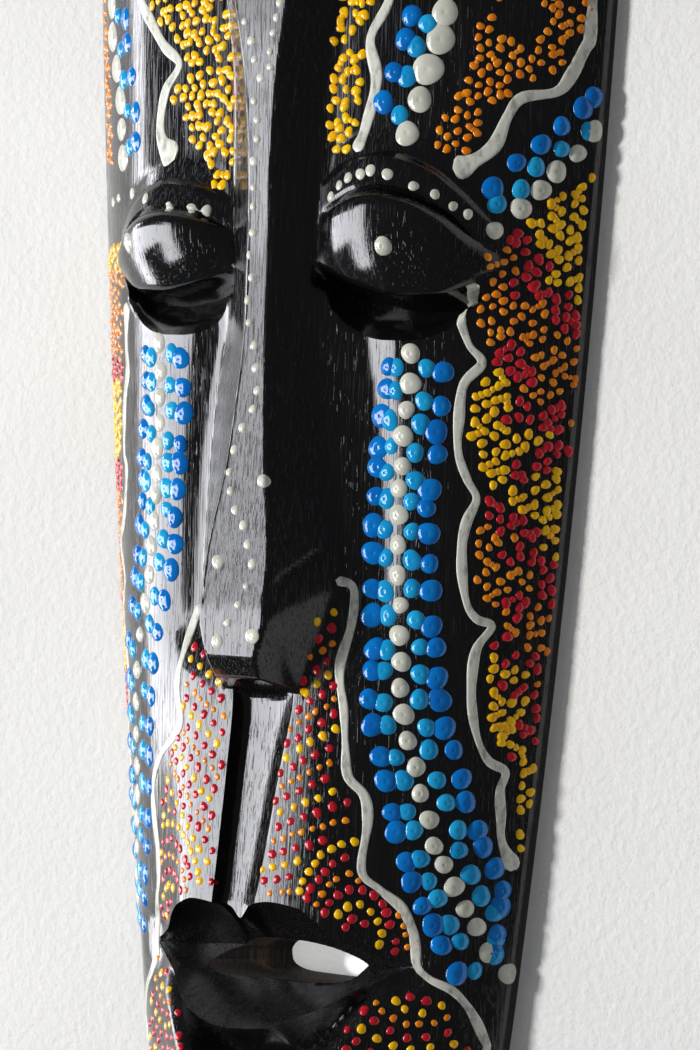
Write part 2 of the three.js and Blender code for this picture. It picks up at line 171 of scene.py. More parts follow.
MOUTH_END_FLOOR = 23.5
UPPER_LIP_END = -141.8
MOUTH_LINE_END = -142.3
LOWER_LIP_END = -142.8
LIP_FALL = 1.9
CORNER_DEPTH = 3.6
CHIN_HOLLOW_HEIGHT = 28
CHIN_HOLLOW_Y = -168
CHIN_BOSS = 3.5
CHIN_BLEND = 2.6
HOLE_FRONT_Z = 34
HOLE_BACK_Z = 4
HOLE_RIGHT = 26
HOLE_LEFT_AT_FLOOR = -15
HOLE_LEFT_SLANT = 1.05
HOLE_MIDDLE_Y = -143.1
HOLE_HALF_HEIGHT = 5.3
HOLE_TIP_DROP = 1.2
HOLE_BLUNTNESS = 0.7
HOLE_SIDES = 48
SHARP_ANGLE = 48

# Section through a dot: share of the radius, and share of the height
LARGE_DOME = [
    (0, 0.8), (0.1, 0.9), (0.24, 1), (0.5, 0.84), (0.7, 0.6), (0.86, 0.33), (0.95, 0.12), (1, -0.1),
]
SMALL_DOME = [(0, 1), (0.45, 0.92), (0.8, 0.55), (1, -0.12)]

# Paint sizes, in millimetres
WHITE_RADIUS = 2.75
LIGHT_BLUE_RADIUS = 2.7
BLUE_RADIUS = 2.95
LARGE_WHITE_RADIUS = 3.9
PUPIL_RADIUS = 2.9
FIELD_RADIUS = {"orange": 1.12, "yellow": 1.35, "red": 1.4}
ROW_RADIUS = {"orange": 1.0, "yellow": 1.25, "red": 1.28}
ROW_STEP = {"orange": 3.0, "yellow": 4.0, "red": 4.0}
NEAR_ROW_STEP = 2.9
LARGE_HEIGHT = 0.95
SMALL_HEIGHT = 0.32
JOIN_REACH = 2.35
JOIN_SHARE = {"orange": 0.25, "yellow": 0.4, "red": 0.25}
LINE_HEIGHT = 0.38
BLOB_REACH = 4.5
RIM_SPACING = 3.3

# Poured white lines: points along each, its width, and the width of the blob at its start and its end
LINES = [
    ([
        (70, 178), (78, 160), (84, 140), (83, 122), (81, 108), (78, 105), (75, 97), (72, 92), (65, 90),
        (62, 85), (59, 77), (53, 72), (50, 71),
    ], 3.2, 3, 8),
    ([
        (24, 176), (30, 160), (34, 145), (35, 130), (32, 115), (27, 105), (29, 94), (26, 81), (24, 75),
    ], 3, 3, 5),
    ([
        (56, 41), (52, 34), (54, 25), (57, 20), (53, 14), (52, 4), (52, -4), (54, -11), (56, -16),
        (54, -22), (53, -28), (53, -36), (54, -44), (56, -48), (59, -50), (56, -56), (55, -64), (55, -72),
        (56, -80), (58, -86), (61, -89), (60, -94), (60, -101), (60, -108), (62, -116),
    ], 2.5, 3, 6.5),
    ([
        (21, -39), (25, -41), (25, -50), (23, -62), (25, -73), (26, -83), (27, -91), (31, -96), (32, -103),
        (31, -116), (35, -121), (40, -126), (42, -132), (42, -141), (45, -145), (50, -148), (53, -153),
        (55, -160), (56, -167), (54, -175),
    ], 2.5, 3.5, 6),
    ([
        (-25, -48), (-28, -59), (-30, -71), (-28, -81), (-37, -90), (-41, -99), (-40, -109), (-38, -117),
        (-38, -127), (-42, -139), (-43, -150), (-47, -157), (-50, -165), (-49, -174),
    ], 2.6, 3, 6),
    ([
        (-58, 34), (-58, 29), (-58, 22), (-57, 15), (-59, 7), (-60, -7), (-58, -12), (-59, -20), (-61, -27),
        (-65, -34), (-61, -43), (-64, -52), (-62, -60), (-59, -70), (-60, -80), (-62, -88), (-61, -95),
        (-59, -103), (-58, -110), (-60, -117),
    ], 2.8, 6, 6),
    ([
        (-46, 176), (-56, 160), (-62, 145), (-60, 130), (-52, 117), (-47, 111), (-41, 104), (-35, 99),
        (-40, 92), (-42, 84), (-41, 78), (-36, 73),
    ], 3.2, 3, 12),
]

# Chains of large dots
CHEEK_RIGHT = [
    (40, 22), (40, 14), (39, 7), (38, 0), (38, -8), (37, -14), (37, -21), (37, -29), (37, -37), (38, -45),
    (38, -53), (39, -60), (39, -67), (40, -74), (41, -81), (43, -88), (44, -95), (46, -102), (47, -109),
    (49, -114), (51, -120), (53, -126), (55, -131), (57, -138), (60, -144),
]
CHEEK_LEFT = [
    (-41, 23), (-40, 15), (-40, 8), (-40, 1), (-41, -6), (-41, -13), (-41, -19), (-42, -26), (-43, -33),
    (-44, -41), (-46, -49), (-49, -58), (-51, -68), (-52, -77), (-52, -86), (-52, -95), (-52, -103),
    (-53, -110), (-54, -118), (-56, -126), (-57, -133), (-59, -140),
]
FOREHEAD_RIGHT = [
    (38, 80), (41, 89), (43, 97), (46, 105), (47, 112), (49, 120), (51, 128), (52, 136), (51, 144),
    (49, 152), (46, 160), (42, 167), (37, 174), (31, 180), (24, 185), (17, 189), (9, 192), (0, 193),
]
FOREHEAD_LEFT = [
    (-61, 74), (-62, 82), (-63, 90), (-66, 99), (-69, 108), (-70, 117), (-70, 126), (-68, 135), (-65, 143),
    (-61, 151), (-56, 159), (-50, 166), (-43, 172), (-36, 178), (-28, 183), (-20, 188), (-10, 192),
]
TEMPLE_WHITE = [(79, 82), (76, 76), (72, 71), (69, 66), (65, 61), (60, 55)]
TEMPLE_LIGHT = [(78, 82), (73, 77), (68, 72), (65, 66), (60, 62)]
TEMPLE_BLUE = [(79, 91), (77, 88), (73, 83), (69, 78), (64, 73), (59, 66)]
CHAINS = (CHEEK_RIGHT[::-1], CHEEK_LEFT[::-1], FOREHEAD_RIGHT, FOREHEAD_LEFT)
# Blue dots beside each chain: first and last gap to its left, then to its right
LIGHT_BLUE_GAPS = [((4.3, 3.6), (4.6, 3.8)), ((4.2, 3.8), (4.6, 4.6)), ((4.4, 4.4), None), (None, (4.4, 4.4))]
BLUE_GAPS = [((8.3, 6.8), (9.3, 8.0)), ((7.6, 6.8), (8.6, 8.6)), ((8.4, 8.4), None), (None, (8.4, 8.4))]

# Small white dots down the ridge of the nose, over the eyes and on them
RIDGE_LEFT = [
    (-5, 109), (-3, 104), (-2, 99), (0, 94), (-2, 88), (-1, 83), (-1, 78), (-2, 72), (-2, 65), (-2, 60),
    (-2, 53), (-3, 47), (-2, 41), (-3, 35), (-2, 29), (0, 23), (1, 17), (2, 11), (1, 6), (-2, 1), (-4, -5),
    (-5, -11), (-4, -16), (-2, -21), (1, -25), (3, -30), (5, -35), (4, -41), (2, -46), (-1, -51),
]
RIDGE_RIGHT = [(6, 114), (5, 110), (4, 106), (3, 101), (3, 97)]
RIDGE_LARGE = [(6, -13), (-6, -35), (-4, -56), (7, -54)]
BROW_RIGHT = [
    (18, 63), (21, 66), (24, 68), (28, 69), (31, 70), (36, 69), (43, 66), (48, 64), (52, 61), (55, 59),
]
BROW_LEFT = [(-69, 62), (-64, 63), (-55, 64), (-43, 62.3), (-33, 60), (-25.5, 59.6), (-21, 59)]
PUPILS = [(37, 50), (-47, 50)]

# Outlines of the fields of small dots
ORANGE_RIGHT = [
    (44, 75), (53, 74), (60, 84), (63, 90), (71, 96), (75, 102), (79, 112), (81, 125), (80, 140), (75, 158),
    (66, 176), (52, 194), (36, 208), (18, 217), (0, 220), (0, 201), (12, 199), (24, 194), (36, 186),
    (46, 176), (54, 165), (59, 152), (61, 138), (60, 124), (56, 112), (54, 103), (49, 90),
]
ORANGE_LEFT = [
    (-68, 72), (-75, 74), (-78, 100), (-80, 118), (-79, 138), (-74, 156), (-64, 176), (-50, 194),
    (-34, 208), (-18, 217), (0, 220), (0, 201), (-14, 198), (-28, 192), (-42, 182), (-54, 171), (-64, 158),
    (-71, 146), (-75, 132), (-76, 116), (-72, 100), (-70, 86),
]
YELLOW_RIGHT = [
    (15, 76), (21, 75), (24, 84), (26, 97), (24, 106), (29, 116), (32, 130), (31, 145), (27, 160),
    (21, 174), (13, 182), (5, 182), (14, 165), (19, 145), (18, 125), (16, 101),
]
YELLOW_LEFT = [
    (-36, 99), (-38, 86), (-30, 78), (-25, 71), (-21, 65), (-16, 65), (-15, 77), (-15, 90), (-17, 109),
    (-20, 125), (-20, 145), (-15, 165), (-8, 182), (-18, 183), (-34, 174), (-46, 164), (-57, 146),
    (-56, 132), (-48, 117), (-40, 107),
]
MUZZLE_RIGHT = [
    (21, -43), (23, -50), (21, -61), (23, -73), (24, -90), (29, -97), (30, -103), (29, -116), (34, -122),
    (40, -128), (41, -139.6), (36, -138), (30, -133), (24, -129), (16, -125), (5, -124), (3.5, -121),
    (5, -105), (7.5, -90), (10, -76), (12.5, -66), (14, -58), (16, -51),
]
MUZZLE_LEFT = [
    (-24, -56), (-26, -62), (-28, -71), (-26, -81), (-34, -91), (-38, -99), (-37, -110), (-36, -117),
    (-36, -127), (-40, -139), (-35, -135), (-30, -131), (-25, -127), (-18, -124), (-12, -124), (-12, -105),
    (-11, -90), (-12, -73), (-15, -66),
]
CHIN_RIGHT = [
    (42, -147), (48, -150), (51, -156), (53, -164), (51, -174), (47, -186), (40, -198), (30, -206),
    (14, -210), (0, -211), (0, -202), (12, -196), (17, -184), (22, -168), (30, -154), (37, -148),
]
CHIN_LEFT = [
    (-42, -147), (-41, -152), (-44, -158), (-47, -166), (-46, -174), (-44, -186), (-38, -198), (-30, -206),
    (-14, -210), (0, -211), (0, -202), (-12, -196), (-17, -184), (-22, -168), (-28, -156), (-36, -149),
]
BARE_SPOTS = [(65, 111, 6), (61, 84, 5), (70, 146, 6), (46, 196, 5), (-60, 172, 5)]

# Where the lines beside the rims run: place along the face, and place across it
RIM_LINE_RIGHT = [
    (-120, 66), (-112, 63), (-94, 61), (-89, 62), (-72, 57), (-56, 58), (-49, 61), (-36, 55), (-22, 56),
    (-16, 58), (4, 54), (20, 58), (34, 55), (41, 57), (60, 60),
]
RIM_LINE_LEFT = [
    (-120, -59), (-95, -62), (-80, -61), (-60, -63), (-43, -63), (-34, -66), (-20, -60), (7, -60),
    (29, -59), (46, -60),
]

# Right temple and cheek rim: which colour a dot of the field takes, by its nearest mark
RIM_MARKS = {
    "yellow": [
        (80, 76), (79, 70), (72, 63), (69, 57), (70, 52), (73, 41), (77, 38), (59, 16), (56, 10), (60, 9),
        (55, 3), (67, 2), (55, -4), (64, -4), (61, -10), (58, -13), (68, -12), (73, -10), (67, -18),
        (72, -21), (70, -27), (72, -32), (58, -60), (64, -63), (57, -70), (64, -72), (58, -77), (62, -78),
        (60, -84), (65, -85), (64, -90), (62, -96), (65, -97), (62, -102), (63, -110),
    ],
    "red": [
        (65, 54), (67, 48), (65, 39), (72, 38), (76, 30), (60, 21), (66, 17), (73, 9), (65, 7), (70, 5),
        (74, 1), (74, -6), (65, -9), (71, -5), (59, -18), (63, -23), (66, -27), (64, -31), (69, -33),
        (71, -40), (64, -44), (70, -44), (65, -47), (58, -52), (64, -59), (67, -60), (60, -56), (64, -67),
        (68, -70), (65, -78), (67, -82), (62, -87),
    ],
    "orange": [
        (62, 48), (57, 41), (61, 38), (57, 29), (67, 35), (58, 24), (74, 26), (69, 18), (76, 16), (69, 13),
        (75, 3), (56, -25), (62, -27), (56, -33), (64, -38), (57, -44), (60, -48), (67, -47), (70, -48),
        (66, -53), (69, -59), (69, -66),
    ],
}
# Left rim: down to which place along the face a dot of the field takes each colour
RIM_LEFT_BANDS = [
    (43, "yellow"), (18, "orange"), (12, "red"), (-10, "yellow"), (-18, "red"), (-48, "orange"),
    (-52, "red"), (-68, "yellow"), (-78, "red"), (-84, "orange"), (-120, "yellow"),
]

# Brown spots blended into the black: middle and reach of each spot
BROWN_SPOTS = [((-8, -66), (5.5, 3)), ((-15, 104), (1.6, 30)), ((-9.5, -60), (1.2, 6))]
LIP_SPOT = ((0, -151), (44, 12))
LID_Y = 40
LID_REACH = (27, 18)


# Sums that the shapes share
def mix(a, b, t):
    return a + (b - a) * t


def ease(low, high, value):
    t = np.clip((value - low) / (high - low), 0, 1)
    return t * t * (3 - 2 * t)


def table(points, at):
    xs, ys = np.array(points, float).T
    return np.interp(at, xs, ys)


def curve(points, at):
    """Monotone cubic through the points."""
    xs, ys = np.array(points, float).T
    h = np.diff(xs)
    d = np.diff(ys) / h
    m = np.zeros_like(xs)
    same = d[:-1] * d[1:] > 0
    m[1:-1][same] = (2 * d[:-1] * d[1:] / (d[:-1] + d[1:] + 1e-12))[same]
    m[0], m[-1] = d[0], d[-1]
    at = np.clip(at, xs[0], xs[-1])
    i = np.clip(np.searchsorted(xs, at) - 1, 0, len(h) - 1)
    t = (at - xs[i]) / h[i]
    return ((2 * t**3 - 3 * t**2 + 1) * ys[i] + (t**3 - 2 * t**2 + t) * h[i] * m[i]
            + (3 * t**2 - 2 * t**3) * ys[i + 1] + (t**3 - t**2) * h[i] * m[i + 1])


def smooth_min(a, b, k):
    h = np.clip(0.5 + 0.5 * (b - a) / k, 0, 1)
    return mix(b, a, h) - k * h * (1 - h)


def smooth_max(a, b, k):
    return -smooth_min(-a, -b, k)


# The carved face: its height over the back rim, by the same formulas as the solid
def half_width(y):
    d = TOP_ROUND_START - y
    side = SIDE_HALF - SIDE_LEAN * d - SIDE_BOW * d * d
    top = np.clip((y - TOP_ROUND_START) / (TOP_END - TOP_ROUND_START), 0, END_TIP)
    chin = np.clip((CHIN_ROUND_START - y) / (CHIN_ROUND_START - CHIN_END), 0, END_TIP)
    return side * (1 - top**2.6) ** 0.45 * (1 - chin**2.8) ** 0.5


def vault(x, y):
    u = np.clip(np.abs(x) / half_width(y), 0, 1)
    top = np.clip((y - VAULT_TOP_START) / (TOP_END - VAULT_TOP_START), 0, 1)
    chin = np.clip((VAULT_CHIN_START - y) / (VAULT_CHIN_START - CHIN_END), 0, 1)
    ends = (1 - top**2.8) ** 0.7 * (1 - chin**2.8) ** 0.7
    return RIM_WALL + (VAULT_HEIGHT - RIM_WALL) * (1 - u**VAULT_POWER) * ends


def distance_to_line(points, x, y):
    best = np.full(np.broadcast(x, y).shape, np.inf)
    for (x0, y0), (x1, y1) in zip(points, points[1:]):
        t = np.clip(((x - x0) * (x1 - x0) + (y - y0) * (y1 - y0)) / ((x1 - x0) ** 2 + (y1 - y0) ** 2), 0, 1)
        best = np.minimum(best, np.hypot(x - mix(x0, x1, t), y - mix(y0, y1, t)))
    return best


def valley_depth(y):
    return VALLEY_DEPTH * ease(44, 24, y) * ease(-68, -46, y)


def nose(x, y):
    a = np.abs(x)
    ridge = curve(RIDGE_HEIGHT, y)
    half = curve(RIDGE_HALF, y)
    foot = curve(NOSE_BASE_HALF, y)
    foot_height = vault(foot, y) - 1 - valley_depth(y)
    flank = ridge - (a - half) * (ridge - foot_height) / (foot - half)
    wing = flank - table(WING_FALL, a) * np.maximum(0, curve(WING_EDGE, a) - y)
    bevel = ridge - BEVEL_FALL * (BEVEL_START - y)
    underside = ridge - BEVEL_FALL * (BEVEL_START - UNDERSIDE_START) - UNDERSIDE_FALL * (UNDERSIDE_START - y)
    sides = smooth_min(ridge, np.minimum(flank, wing), 0.8)
    body = smooth_min(sides, smooth_min(bevel, underside, 0.6), 0.8)
    cut = ease(NOSTRIL_CUT_WIDTH, 0, distance_to_line(NOSTRIL_CUT, a, y))
    return body - NOSTRIL_CUT_DEPTH * cut * ease(8, 15, a)


def eye_scale(x):
    return mix(LEFT_EYE_SCALE, 1, np.clip((x + 14) / 28, 0, 1))


def eye_curve(points, x):
    y = curve(points, np.abs(x))
    return np.where(y > LID_LEVEL, LID_LEVEL + (y - LID_LEVEL) * eye_scale(x), y)


def socket_row(x):
    return np.minimum(curve(SOCKET_RIM, np.abs(x)), eye_curve(LID_EDGE, x) - 6.5)


def eye(x, y):
    a = np.abs(x)
    bulge = np.maximum(0, 1 - ((a - EYE_CENTRE) / EYE_HALF) ** 2) ** 0.7
    depth = np.maximum(0, 1 - ((a - SOCKET_CENTRE) / SOCKET_HALF) ** 2) ** 0.35
    brow = eye_curve(BROW_GROOVE, x)
    groove = eye_curve(LID_GROOVE, x)
    lid = eye_curve(LID_EDGE, x)
    rim = socket_row(x)
    rise = EYE_RISE * bulge
    sink = SOCKET_DEPTH * depth
    profile = [
        (rim - SOCKET_RIM_OUT, 0 * rise),
        (rim + SOCKET_RIM_IN, -0.3 * sink),
        (mix(rim, lid - LID_UNDER, 0.5), -0.7 * sink),
        (lid - LID_UNDER, -sink),
        *((mix(groove - 3, lid, t), (1 - LID_DROP * t * t) * rise) for t in np.linspace(1, 0, 13)),
        (groove - LID_GROOVE_HALF, 0.86 * rise),
        (groove, 0.5 * rise),
        (groove + LID_GROOVE_HALF, 0.62 * rise),
        (brow - BROW_GROOVE_HALF, 0.48 * rise),
        (brow, 0.14 * rise),
        (brow + BROW_GROOVE_HALF, 0.1 * rise),
        (brow + BROW_FADE, 0 * rise),
    ]
    height = np.zeros_like(rise)
    for (y0, h0), (y1, h1) in zip(profile, profile[1:]):
        t = (y - y0) / np.maximum(y1 - y0, 1e-6)
        inside = (t >= 0) & (t < 1)
        height = np.where(inside, mix(h0, h1, t), height)
    return height


def muzzle(x, y):
    ground = vault(x, y) + curve(MUZZLE_RISE, y) * (1 - ease(17, 40, np.abs(x)))
    middle = curve(NOSE_BASE_HALF, y) + np.where(x > 0, VALLEY_ASIDE, 0)
    beside = (np.abs(x) - middle) / VALLEY_REACH
    valley = valley_depth(y) * np.exp(-beside * beside)
    across = (x - curve(PHILTRUM_CENTRE, y)) / curve(PHILTRUM_HALF, y) - PHILTRUM_LOWEST
    across = np.where(across < 0, across / (1 + PHILTRUM_LOWEST), across / (1 - PHILTRUM_LOWEST))
    section = np.maximum(0, 1 - np.abs(across) ** PHILTRUM_POWER)
    groove = np.where(y > PHILTRUM_TOP, 0, curve(PHILTRUM_DEPTH, y) * section)
    return ground - valley - groove


def mouth(x, y, ground):
    upper = curve(UPPER_LIP, x)
    middle = curve(MOUTH_LINE, x)
    lower = curve(LOWER_LIP, x)
    ends = ease(MOUTH_HALF, 26, np.abs(x))
    floor = mix(MOUTH_END_FLOOR, MOUTH_FLOOR, ends)
    lip = curve(LOWER_LIP_HEIGHT, x)
    above = np.clip((upper - y) / (upper - middle), 0, 1) ** 0.62
    below = np.clip((middle - y) / (middle - lower), 0, 1) ** 0.85
    inner = np.where(y >= middle, mix(ground, floor, above), mix(floor, lip, below))
    return np.where((np.abs(x) < MOUTH_HALF) & (y < upper) & (y >= lower), inner, ground)


def chin(x, y, ground):
    a = np.abs(x)
    lower = np.where(a < MOUTH_HALF, curve(LOWER_LIP, x), LOWER_LIP_END)
    lip = curve(LOWER_LIP_HEIGHT, x)
    boss = CHIN_BOSS * ease(-178, -198, y) * ease(238, 205, -y) * (1 - ease(10, 36, a))
    edge = mix(34, 5, np.clip((-148 - y) / 38, 0, 1))
    hollow = (ground - CHIN_HOLLOW_HEIGHT) * ease(edge + 6, edge - 9, a) * ease(-194, -174, y)
    surface = ground + boss - np.maximum(0, hollow)
    fall = lip - LIP_FALL * (lower - y)
    joined = np.where(a < MOUTH_HALF, smooth_max(surface, fall, CHIN_BLEND), surface)
    return np.where(y >= lower, ground, joined)


def face(x, y):
    x, y = np.broadcast_arrays(np.asarray(x, float), np.asarray(y, float))
    height = muzzle(x, y)
    height = np.where(y > -80, smooth_max(height, nose(x, y), NOSE_BLEND), height)
    height = height + np.where((y > 10) & (y < 92), eye(x, y), 0)
    corner = ease(52, 38, np.abs(x)) * ease(24, 38, np.abs(x))
    lower = height - CORNER_DEPTH * corner * ease(14, 3, np.abs(y + 142))
    lower = chin(x, y, mouth(x, y, lower))
    height = np.where(y < -120, lower, height)
    return np.maximum(height, RIM_WALL)


# The fine grid over the face: its rows and columns run along the carved edges
COLUMN_STEPS = (20, 24, 40, 20)


def eye_row(points, gap=0):
    return lambda x: eye_curve(points, x) + gap


def socket_edge(gap):
    return lambda x: socket_row(x) + gap


def lip_row(points, end):
    return lambda x: np.where(np.abs(x) < MOUTH_HALF, curve(points, x), end)


def under_lip(x):
    return np.minimum(-152, curve(LOWER_LIP, x) - 8.5)


# Rows of the grid from the forehead down: a place or a curve, and the steps to it from the row above
GRID_ROWS = [
    (TOP_END, 0),
    (247.5, 3),
    (235, 7),
    (205, 16),
    (eye_row(BROW_GROOVE, BROW_FADE), 62),
    (eye_row(BROW_GROOVE, BROW_GROOVE_HALF), 4),
    (eye_row(BROW_GROOVE), 2),
    (eye_row(BROW_GROOVE, -BROW_GROOVE_HALF), 2),
    (eye_row(LID_GROOVE, LID_GROOVE_HALF), 5),
    (eye_row(LID_GROOVE), 2),
    (eye_row(LID_GROOVE, -LID_GROOVE_HALF), 2),
    (eye_row(LID_EDGE), 16),
    (eye_row(LID_EDGE, -LID_UNDER), 7),
    (socket_edge(SOCKET_RIM_IN), 8),
    (socket_edge(-SOCKET_RIM_OUT), 3),
    (-30, 36),
    (-57, 26),
    (BEVEL_START, 4),
    (UNDERSIDE_START, 6),
    (-70, 7),
    (lip_row(UPPER_LIP, UPPER_LIP_END), 40),
    (lip_row(MOUTH_LINE, MOUTH_LINE_END), 14),
    (lip_row(LOWER_LIP, LOWER_LIP_END), 12),
    (under_lip, 9),
    (CHIN_HOLLOW_Y - 22, 20),
    (-235, 28),
    (-247.5, 8),
    (CHIN_END, 3),
]


def row_at(x):
    """Place along the face of every row of the grid, at the across places x."""
    def at(row, part):
        return row(part) if callable(row) else row + 0 * part

    out = [at(GRID_ROWS[0][0], x[:1])]
    start = 1
    for (before, _), (row, steps) in zip(GRID_ROWS, GRID_ROWS[1:]):
        part = x[start:start + steps]
        t = (np.arange(1, steps + 1) / steps)[:, None]
        out.append(mix(at(before, part), at(row, part), t))
        start += steps
    return np.concatenate(out)


def column_at(y):
    """Across place of every column of the grid, at the places y along the face."""
    total = sum(COLUMN_STEPS)
    step = np.arange(-total, total + 1)
    side = np.where(step < 0, -1, 1)
    width = half_width(y)
    squeeze = np.minimum(1, width / 60)
    ridge = np.where(y < -62, curve(PHILTRUM_HALF, y), curve(RIDGE_HALF, y))
    centre = curve(PHILTRUM_CENTRE, y) * squeeze
    anchors = [
        centre,
        centre + side * ridge * squeeze,
        side * np.minimum(curve(NOSE_BASE_HALF, y), 40) * squeeze,
        side * 0.79 * width,
        side * width,
    ]
    x = anchors[0]
    done = 0
    for k, steps in enumerate(COLUMN_STEPS):
        t = np.clip((np.abs(step) - done) / steps, 0, 1)
        x = np.where(np.abs(step) > done, mix(anchors[k], anchors[k + 1], t), x)
        done += steps
    return x


def face_grid():
    rows = 1 + sum(steps for _, steps in GRID_ROWS[1:])
    columns = 2 * sum(COLUMN_STEPS) + 1
    y = row_at(np.zeros((rows, columns)))
    x = column_at(y)
    for _ in range(8):
        y = mix(y, row_at(x), 0.7)
        x = column_at(y)
    z = face(x, y)
    z[:, 0] = z[:, -1] = RIM_WALL
    z[0] = z[-1] = RIM_WALL
    return np.stack([x, y, z], -1)


# The wooden body
def new_object(name, points, faces):
    """An object in the scene with a mesh of points given in millimetres."""
    mesh = bpy.data.meshes.new(name)
    mesh.from_pydata((points * MM).tolist(), [], faces)
    mesh.update()
    obj = bpy.data.objects.new(name, mesh)
    bpy.context.scene.collection.objects.link(obj)
    return obj


def grid_quads(rows, columns):
    """The numbers of a grid's points, and its faces."""
    index = np.arange(rows * columns).reshape(rows, columns)
    quads = np.stack([index[:-1, :-1], index[1:, :-1], index[1:, 1:], index[:-1, 1:]], -1)
    return index, quads.reshape(-1, 4)


def closed_mesh(name, grid, level):
    """A closed mesh between an upper grid of points in millimetres and a flat level below it."""
    index, quads = grid_quads(*grid.shape[:2])
    loop = np.concatenate([index[0, :], index[1:, -1], index[-1, -2::-1], index[-2:0:-1, 0]])
    points = grid.reshape(-1, 3)
    low = points[loop].copy()
    low[:, 2] = level
    below = len(points) + np.arange(len(loop))
    points = np.concatenate([points, low, [[0, 0, level]]])
    ahead = np.roll(np.arange(len(loop)), -1)
    walls = np.stack([loop, loop[ahead], below[ahead], below], -1)
    fan = np.stack([below, below[ahead], np.full(len(loop), len(points) - 1)], -1)
    return new_object(name, points, [*quads.tolist(), *walls.tolist(), *fan.tolist()])


def hollow_ceiling(u, v, y):
    across = np.maximum(0, 1 - np.abs(u) ** 3) ** 0.6
    along = np.maximum(0, 1 - np.abs(v) ** 6) ** 0.6
    return curve(HOLLOW_DEPTH, y) * across * along


def hollow_grid(rows=150, columns=72):
    r = np.arange(rows + 1)[:, None] / rows
    c = np.arange(columns + 1)[None, :] / columns
    v = np.sin((0.5 - r) * math.pi) + 0 * c
    y = mix(HOLLOW_BOTTOM, HOLLOW_TOP, (v + 1) / 2)
    inset = np.maximum(half_width(y) - HOLLOW_RIM, 8)
    rounding = (1 - (np.abs(v) * 0.998) ** 7) ** 0.4
    u = np.sin((c - 0.5) * math.pi) + 0 * r
    z = np.maximum(0, hollow_ceiling(u, v, y))
    gouges = 0.55 * np.abs(np.sin(y / 7.5 + 2.2 * np.sin(u * 9))) * np.abs(np.sin(u * inset / 5.5))
    z = z - gouges * ease(2, 8, z)
    return np.stack([u * inset * rounding, y, z], -1)


def mouth_plug():
    """The lens-shaped space of the mouth hole, wider in front than behind."""
    angle = np.arange(HOLE_SIDES) / HOLE_SIDES * 2 * math.pi
    along, up = np.cos(angle), np.sin(angle)
    rise = HOLE_HALF_HEIGHT * np.sign(up) * np.abs(up) ** HOLE_BLUNTNESS
    y = HOLE_MIDDLE_Y - HOLE_TIP_DROP * along**2 + rise
    rings = []
    for z in (HOLE_BACK_Z, HOLE_FRONT_Z):
        left = HOLE_LEFT_AT_FLOOR + (MOUTH_FLOOR - z) * HOLE_LEFT_SLANT
        x = mix(left, HOLE_RIGHT, (along + 1) / 2)
        rings.append(np.stack([x, y, 0 * x + z], -1))
    n = HOLE_SIDES
    faces = [(i, (i + 1) % n, n + (i + 1) % n, n + i) for i in range(n)]
    faces += [tuple(range(n - 1, -1, -1)), tuple(range(n, 2 * n))]
    return new_object("mouth_plug", np.concatenate(rings), faces)


def fix_normals(obj):
    """Turns every face outward."""
    work = bmesh.new()
    work.from_mesh(obj.data)
    bmesh.ops.recalc_face_normals(work, faces=work.faces)
    work.to_mesh(obj.data)
    work.free()


def carve_away(body, tools):
    for obj in (body, *tools):
        fix_normals(obj)
    for tool in tools:
        cut = body.modifiers.new(tool.name, "BOOLEAN")
        cut.operation = "DIFFERENCE"
        cut.object = tool
        cut.solver = "MANIFOLD"
    graph = bpy.context.evaluated_depsgraph_get()
    done = bpy.data.meshes.new_from_object(body.evaluated_get(graph))
    body.modifiers.clear()
    body.data = done
    for tool in tools:
        bpy.data.objects.remove(tool)


def polygon_values(mesh, name):
    values = np.empty(len(mesh.polygons) * 3)
    mesh.polygons.foreach_get(name, values)
    return values.reshape(-1, 3)


def make_body():
    body = closed_mesh("mask_body", face_grid(), 0)
    carve_away(body, [closed_mesh("hollow", hollow_grid(), -2), mouth_plug()])
    mesh = body.data
    mesh.materials.clear()
    mesh.materials.append(black_gloss())
    mesh.materials.append(thin_black())
    x, y, z = polygon_values(mesh, "center").T / MM
    below = face(x, y) - z
    behind = (below > 1.5) & (polygon_values(mesh, "normal")[:, 2] < 0.02) & (np.abs(x) < half_width(y) - 2)
    in_hole = (below > 0.6) & (np.abs(y - HOLE_MIDDLE_Y) < 7.5) & (np.abs(x) < 30)
    mesh.polygons.foreach_set("material_index", (behind | in_hole).astype(np.int32))
    mesh.polygons.foreach_set("use_smooth", np.ones(len(mesh.polygons), bool))
    mesh.set_sharp_from_angle(angle=math.radians(SHARP_ANGLE))
    mesh.update()
    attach(body, "root")
    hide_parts("mask")


# Raised paint
def unit(vectors):
    return vectors / np.linalg.norm(vectors, axis=-1, keepdims=True)


def surface_normal(x, y, reach=0.7):
    """Direction that the face points in at each place."""
    dx = (face(x + reach, y) - face(x - reach, y)) / (2 * reach)
    dy = (face(x, y + reach) - face(x, y - reach)) / (2 * reach)
    return unit(np.stack([-dx, -dy, np.ones_like(dx)], -1))


